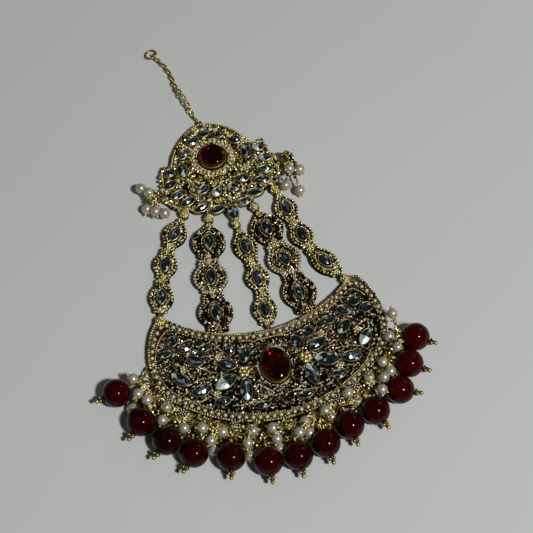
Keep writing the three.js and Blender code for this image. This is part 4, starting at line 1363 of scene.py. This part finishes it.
def build_chain(sizes):
    chain = Work()
    route = smooth_route(CHAIN_ROUTE)
    places, directions = spaced(route, sizes.chain_pitch / MM, False)
    for number, (place, along) in enumerate(zip(places, directions)):
        level = unit(np.cross(along, UP))
        turn = math.radians(38 if number % 2 else -52)
        side = level * math.cos(turn) + np.cross(along, level) * math.sin(turn)
        normal = np.cross(along, side)
        turns = full_turn(16)[:, None]
        path = place + 0.98 * along * np.cos(turns) + 0.58 * side * np.sin(turns)
        sweep(chain, path, 0.22, "gold_wire", 8, True, normal, 0.4 + 0.4 * (number % 2))
    top_eye = crown_top_eye()
    up = unit(np.array(CHAIN_ROUTE[0][:2]) - top_eye)
    jump_ring(chain, top_eye, up, "gold_wire")
    sweep(chain, [ring_foot(top_eye, up), np.array(CHAIN_ROUTE[0])], 0.3, "gold_wire", 8)
    before, last = np.array(CHAIN_ROUTE[-2]), np.array(CHAIN_ROUTE[-1])
    heading = unit((last - before)[:2])
    end = last[:2] + 1.6 * heading
    jump_ring(chain, end, -heading, "gold_wire")
    make_piece("chain_links", chain, "gold", "hook_chain")

    hook = Work()
    tilt = math.asin((EYE["height"] - HOOK_RING["wire"]) / (2 * HOOK_RING["radius"]))
    start = np.array([*(end - JUMP_RING["radius"] * heading), EYE["height"]])
    down = np.array([*(heading * math.cos(tilt)), -math.sin(tilt)])
    normal = np.cross(down, (-heading[1], heading[0], 0))
    ring(hook, start + HOOK_RING["radius"] * down, normal, HOOK_RING["radius"],
         HOOK_RING["wire"], "gold_wire", 36, 10)
    make_piece("hanging_ring", hook, "gold", "hook_ring")


# ---- Stage ------------------------------------------------------------------------------------

def place_in_frame(x, y, z):
    return Vector((x * MM + ORIGIN[0], y * MM + ORIGIN[1], z * MM))


def build_stage(stage):
    camera = bpy.data.objects.new("camera", bpy.data.cameras.new("camera"))
    bpy.context.scene.collection.objects.link(camera)
    camera.location = place_in_frame(*CAMERA["place"])
    aim = place_in_frame(*CAMERA["aim"]) - camera.location
    camera.rotation_euler = aim.to_track_quat("-Z", "Y").to_euler()
    camera.data.lens = CAMERA["lens"]
    camera.data.sensor_width = CAMERA["sensor"]
    camera.data.clip_start = 0.01
    bpy.context.scene.camera = camera

    for name, direction, distance, size, power in LIGHTS:
        lamp = bpy.data.lights.new(name, "AREA")
        lamp.shape = "DISK"
        lamp.size = size
        lamp.energy = getattr(stage, power)
        thing = bpy.data.objects.new(name, lamp)
        bpy.context.scene.collection.objects.link(thing)
        offset = Vector(direction).normalized() * distance
        thing.location = place_in_frame(*LIGHTS_AIM) + offset
        thing.rotation_euler = (-offset).to_track_quat("-Z", "Y").to_euler()

    world = bpy.data.worlds.new("soft_room")
    bpy.context.scene.world = world
    world.use_nodes = True
    tree = world.node_tree
    back = tree.nodes["Background"]
    shade = remap(tree, height_of(tree, "Generated"), 0.0, 0.9)
    tree.links.new(mix(tree, shade, HORIZON, ZENITH), back.inputs["Color"])
    back.inputs["Strength"].default_value = stage.fill
    bpy.context.scene.view_settings.view_transform = "Standard"

    half = stage.floor_size / 2
    mesh = bpy.data.meshes.new("floor")
    mesh.from_pydata([(-half, -half, 0), (half, -half, 0), (half, half, 0), (-half, half, 0)], [],
                     [(0, 1, 2, 3)])
    mesh.materials.append(finish_material("floor"))
    floor = bpy.data.objects.new("floor", mesh)
    bpy.context.scene.collection.objects.link(floor)


# ---- Add-on -----------------------------------------------------------------------------------

def colour(name, description, value):
    return FloatVectorProperty(name=name, description=description, default=value, subtype="COLOR",
                               size=3, min=0.0, max=1.0)


class JhoomarColours(bpy.types.PropertyGroup):
    # The low-place colours are partly patina and partly painted shade; the glint colours, copper among
    # them, are painted highlights.
    gold: colour("Gold", "High places of the pale gold", (0.85, 0.71, 0.22))
    gold_patina_and_shade: colour("Gold recess", "Low places of the pale gold", (0.018, 0.011, 0.003))
    glint: colour("Glint", "Brightest granules of the pale gold", (1.0, 0.94, 0.62))
    setting: colour("Setting", "Walls round the small stones", (0.62, 0.57, 0.36))
    amber: colour("Amber gold", "Deep gold between the pearls", (0.70, 0.42, 0.11))
    amber_patina_and_shade: colour("Amber recess", "Low places between the pearls", (0.10, 0.045, 0.012))
    antique: colour("Antique gold", "High places of the aged gold", (0.42, 0.31, 0.13))
    antique_patina_and_shade: colour("Antique recess", "Low places of the aged gold", (0.014, 0.009, 0.005))
    pale_glint: colour("Pale glint", "Brightest granules of the field", (1.0, 0.90, 0.76))
    copper_glint: colour("Copper", "Brightest granules of the aged links", (1.0, 0.84, 0.52))
    pearl: colour("Pearl", "Body of the pearls", (0.54, 0.51, 0.41))
    pearl_blush: colour("Pearl blush", "Darker clouds in the pearls", (0.40, 0.36, 0.26))
    half_pearl: colour("Half pearl", "Small set pearls", (0.70, 0.65, 0.45))
    half_pearl_deep: colour("Half pearl deep", "Darker clouds in the small pearls",
                            (0.50, 0.43, 0.24))
    # The crystal and foil colour pairs are the painted shade and painted flashes of the facets.
    crystal_dark: colour("Crystal dark", "Facets turned from the light", (0.005, 0.011, 0.013))
    crystal_light: colour("Crystal light", "Facets that flash", (0.68, 0.85, 0.86))
    red_bead: colour("Red bead", "Body of the beads", (0.042, 0.0008, 0.0012))
    red_bead_deep: colour("Red bead deep", "Deeper clouds in the beads", (0.0095, 0.0002, 0.0003))
    red_glass: colour("Red glass", "Body of the large stones", (0.50, 0.010, 0.015))
    red_foil_dark: colour("Red foil dark", "Foil facets in shade", (0.32, 0.004, 0.006))
    red_foil_light: colour("Red foil light", "Foil facets that flash", (0.55, 0.02, 0.025))
    floor: colour("Floor", "The plain floor", (0.64, 0.655, 0.635))


class JhoomarSizes(bpy.types.PropertyGroup):
    half_pearl: FloatProperty(
        name="Half pearl", description="Diameter of the pearls set in the crescent's border",
        default=0.00118, min=0.0005, max=0.003, unit="LENGTH")
    half_pearl_pitch: FloatProperty(
        name="Half pearl pitch", description="Distance between the border's pearls",
        default=0.0019, min=0.0012, max=0.005, unit="LENGTH")
    granule_pitch: FloatProperty(
        name="Granule pitch", description="Distance between the granules of the fields",
        default=0.00058, min=0.0004, max=0.002, unit="LENGTH")
    chain_pitch: FloatProperty(
        name="Chain pitch", description="Distance between the chain's links",
        default=0.00135, min=0.0008, max=0.003, unit="LENGTH")


class JhoomarStage(bpy.types.PropertyGroup):
    key_power: FloatProperty(name="Key light", description="Power of the main light",
                             default=8.6, min=0.0, unit="POWER")
    glint_power: FloatProperty(name="Glint lights", description="Power of each small light",
                               default=0.025, min=0.0, unit="POWER")
    window_power: FloatProperty(name="Window", description="Power of the broad side light",
                                default=0.25, min=0.0, unit="POWER")
    fill: FloatProperty(name="Fill", description="Brightness of the room", default=0.055, min=0.0)
    floor_size: FloatProperty(name="Floor", description="Side of the floor", default=4.0,
                              min=0.5, unit="LENGTH")


class JHOOMAR_OT_stage(bpy.types.Operator):
    """Make the camera, the lights and the floor"""
    bl_idname = "jhoomar.stage"
    bl_label = "Stage"

    def execute(self, context):
        build_stage(context.scene.jhoomar_stage)
        return {"FINISHED"}


class JHOOMAR_OT_crescent(bpy.types.Operator):
    """Make the crescent plate with its border, granules and stones"""
    bl_idname = "jhoomar.crescent"
    bl_label = "Crescent"

    def execute(self, context):
        build_crescent(context.scene.jhoomar_sizes)
        build_red_stone("oval_stone", "crescent_stone", (0.0, 0.0), OVAL_STONE, 41, 0.0)
        return {"FINISHED"}


class JHOOMAR_OT_crown(bpy.types.Operator):
    """Make the crown plate with its dome, arcade and stones"""
    bl_idname = "jhoomar.crown"
    bl_label = "Crown"

    def execute(self, context):
        build_crown(context.scene.jhoomar_sizes)
        build_red_stone("round_stone", "crown_stone", (CROWN["x"], CROWN["y"]), ROUND_STONE, 42,
                        0.45)
        return {"FINISHED"}


class JHOOMAR_OT_strips(bpy.types.Operator):
    """Make the five strips of links"""
    bl_idname = "jhoomar.strips"
    bl_label = "Strips"

    def execute(self, context):
        for strip_number, (kind, joints) in enumerate(STRIPS, 1):
            for link_number in (1, 2, 3):
                build_link(strip_number, link_number, kind, joints)
        return {"FINISHED"}


class JHOOMAR_OT_beads(bpy.types.Operator):
    """Make the red beads and their pins"""
    bl_idname = "jhoomar.beads"
    bl_label = "Beads"

    def execute(self, context):
        for number, row in enumerate(BEADS, 1):
            build_bead(number, row)
        return {"FINISHED"}


class JHOOMAR_OT_sprays(bpy.types.Operator):
    """Make the pearl sprays of the fringe and of the crown"""
    bl_idname = "jhoomar.sprays"
    bl_label = "Sprays"

    def execute(self, context):
        for number, (angle, pearls) in enumerate(SPRAYS, 1):
            joint, outward = belly_eye(angle)
            build_spray(f"spray_{number:02d}", f"pearl_spray_{number:02d}", joint, outward,
                        pearls, 500 + number)
        build_fringe_clusters()
        for name, side, pearls in CROWN_SPRAYS:
            build_spray(f"crown_{name}", f"crown_spray_{name}", crown_spray_eye(side), (side, 0),
                        pearls, 600 + side, 60)
        return {"FINISHED"}


class JHOOMAR_OT_chain(bpy.types.Operator):
    """Make the chain and the hanging ring"""
    bl_idname = "jhoomar.chain"
    bl_label = "Chain"

    def execute(self, context):
        build_chain(context.scene.jhoomar_sizes)
        return {"FINISHED"}


OPERATORS = (JHOOMAR_OT_stage, JHOOMAR_OT_crescent, JHOOMAR_OT_crown, JHOOMAR_OT_strips,
             JHOOMAR_OT_beads, JHOOMAR_OT_sprays, JHOOMAR_OT_chain)


class JHOOMAR_PT_panel(bpy.types.Panel):
    """Builds the ornament step by step"""
    bl_idname = "JHOOMAR_PT_panel"
    bl_label = "Jhoomar"
    bl_space_type = "VIEW_3D"
    bl_region_type = "UI"
    bl_category = "Jhoomar"

    def draw(self, context):
        for group in (context.scene.jhoomar_sizes, context.scene.jhoomar_colours,
                      context.scene.jhoomar_stage):
            box = self.layout.box()
            for name in group.__annotations__:
                box.prop(group, name)
        for operator in OPERATORS:
            self.layout.operator(operator.bl_idname)


CLASSES = (JhoomarColours, JhoomarSizes, JhoomarStage, *OPERATORS, JHOOMAR_PT_panel)


def register():
    for each in CLASSES:
        bpy.utils.register_class(each)
    bpy.types.Scene.jhoomar_colours = PointerProperty(type=JhoomarColours)
    bpy.types.Scene.jhoomar_sizes = PointerProperty(type=JhoomarSizes)
    bpy.types.Scene.jhoomar_stage = PointerProperty(type=JhoomarStage)


def unregister():
    del bpy.types.Scene.jhoomar_stage
    del bpy.types.Scene.jhoomar_sizes
    del bpy.types.Scene.jhoomar_colours
    for each in reversed(CLASSES):
        bpy.utils.unregister_class(each)


def main():
    register()
    for operator in OPERATORS:
        getattr(bpy.ops.jhoomar, operator.bl_idname.split(".")[1])()


if __name__ == "__main__":
    main()
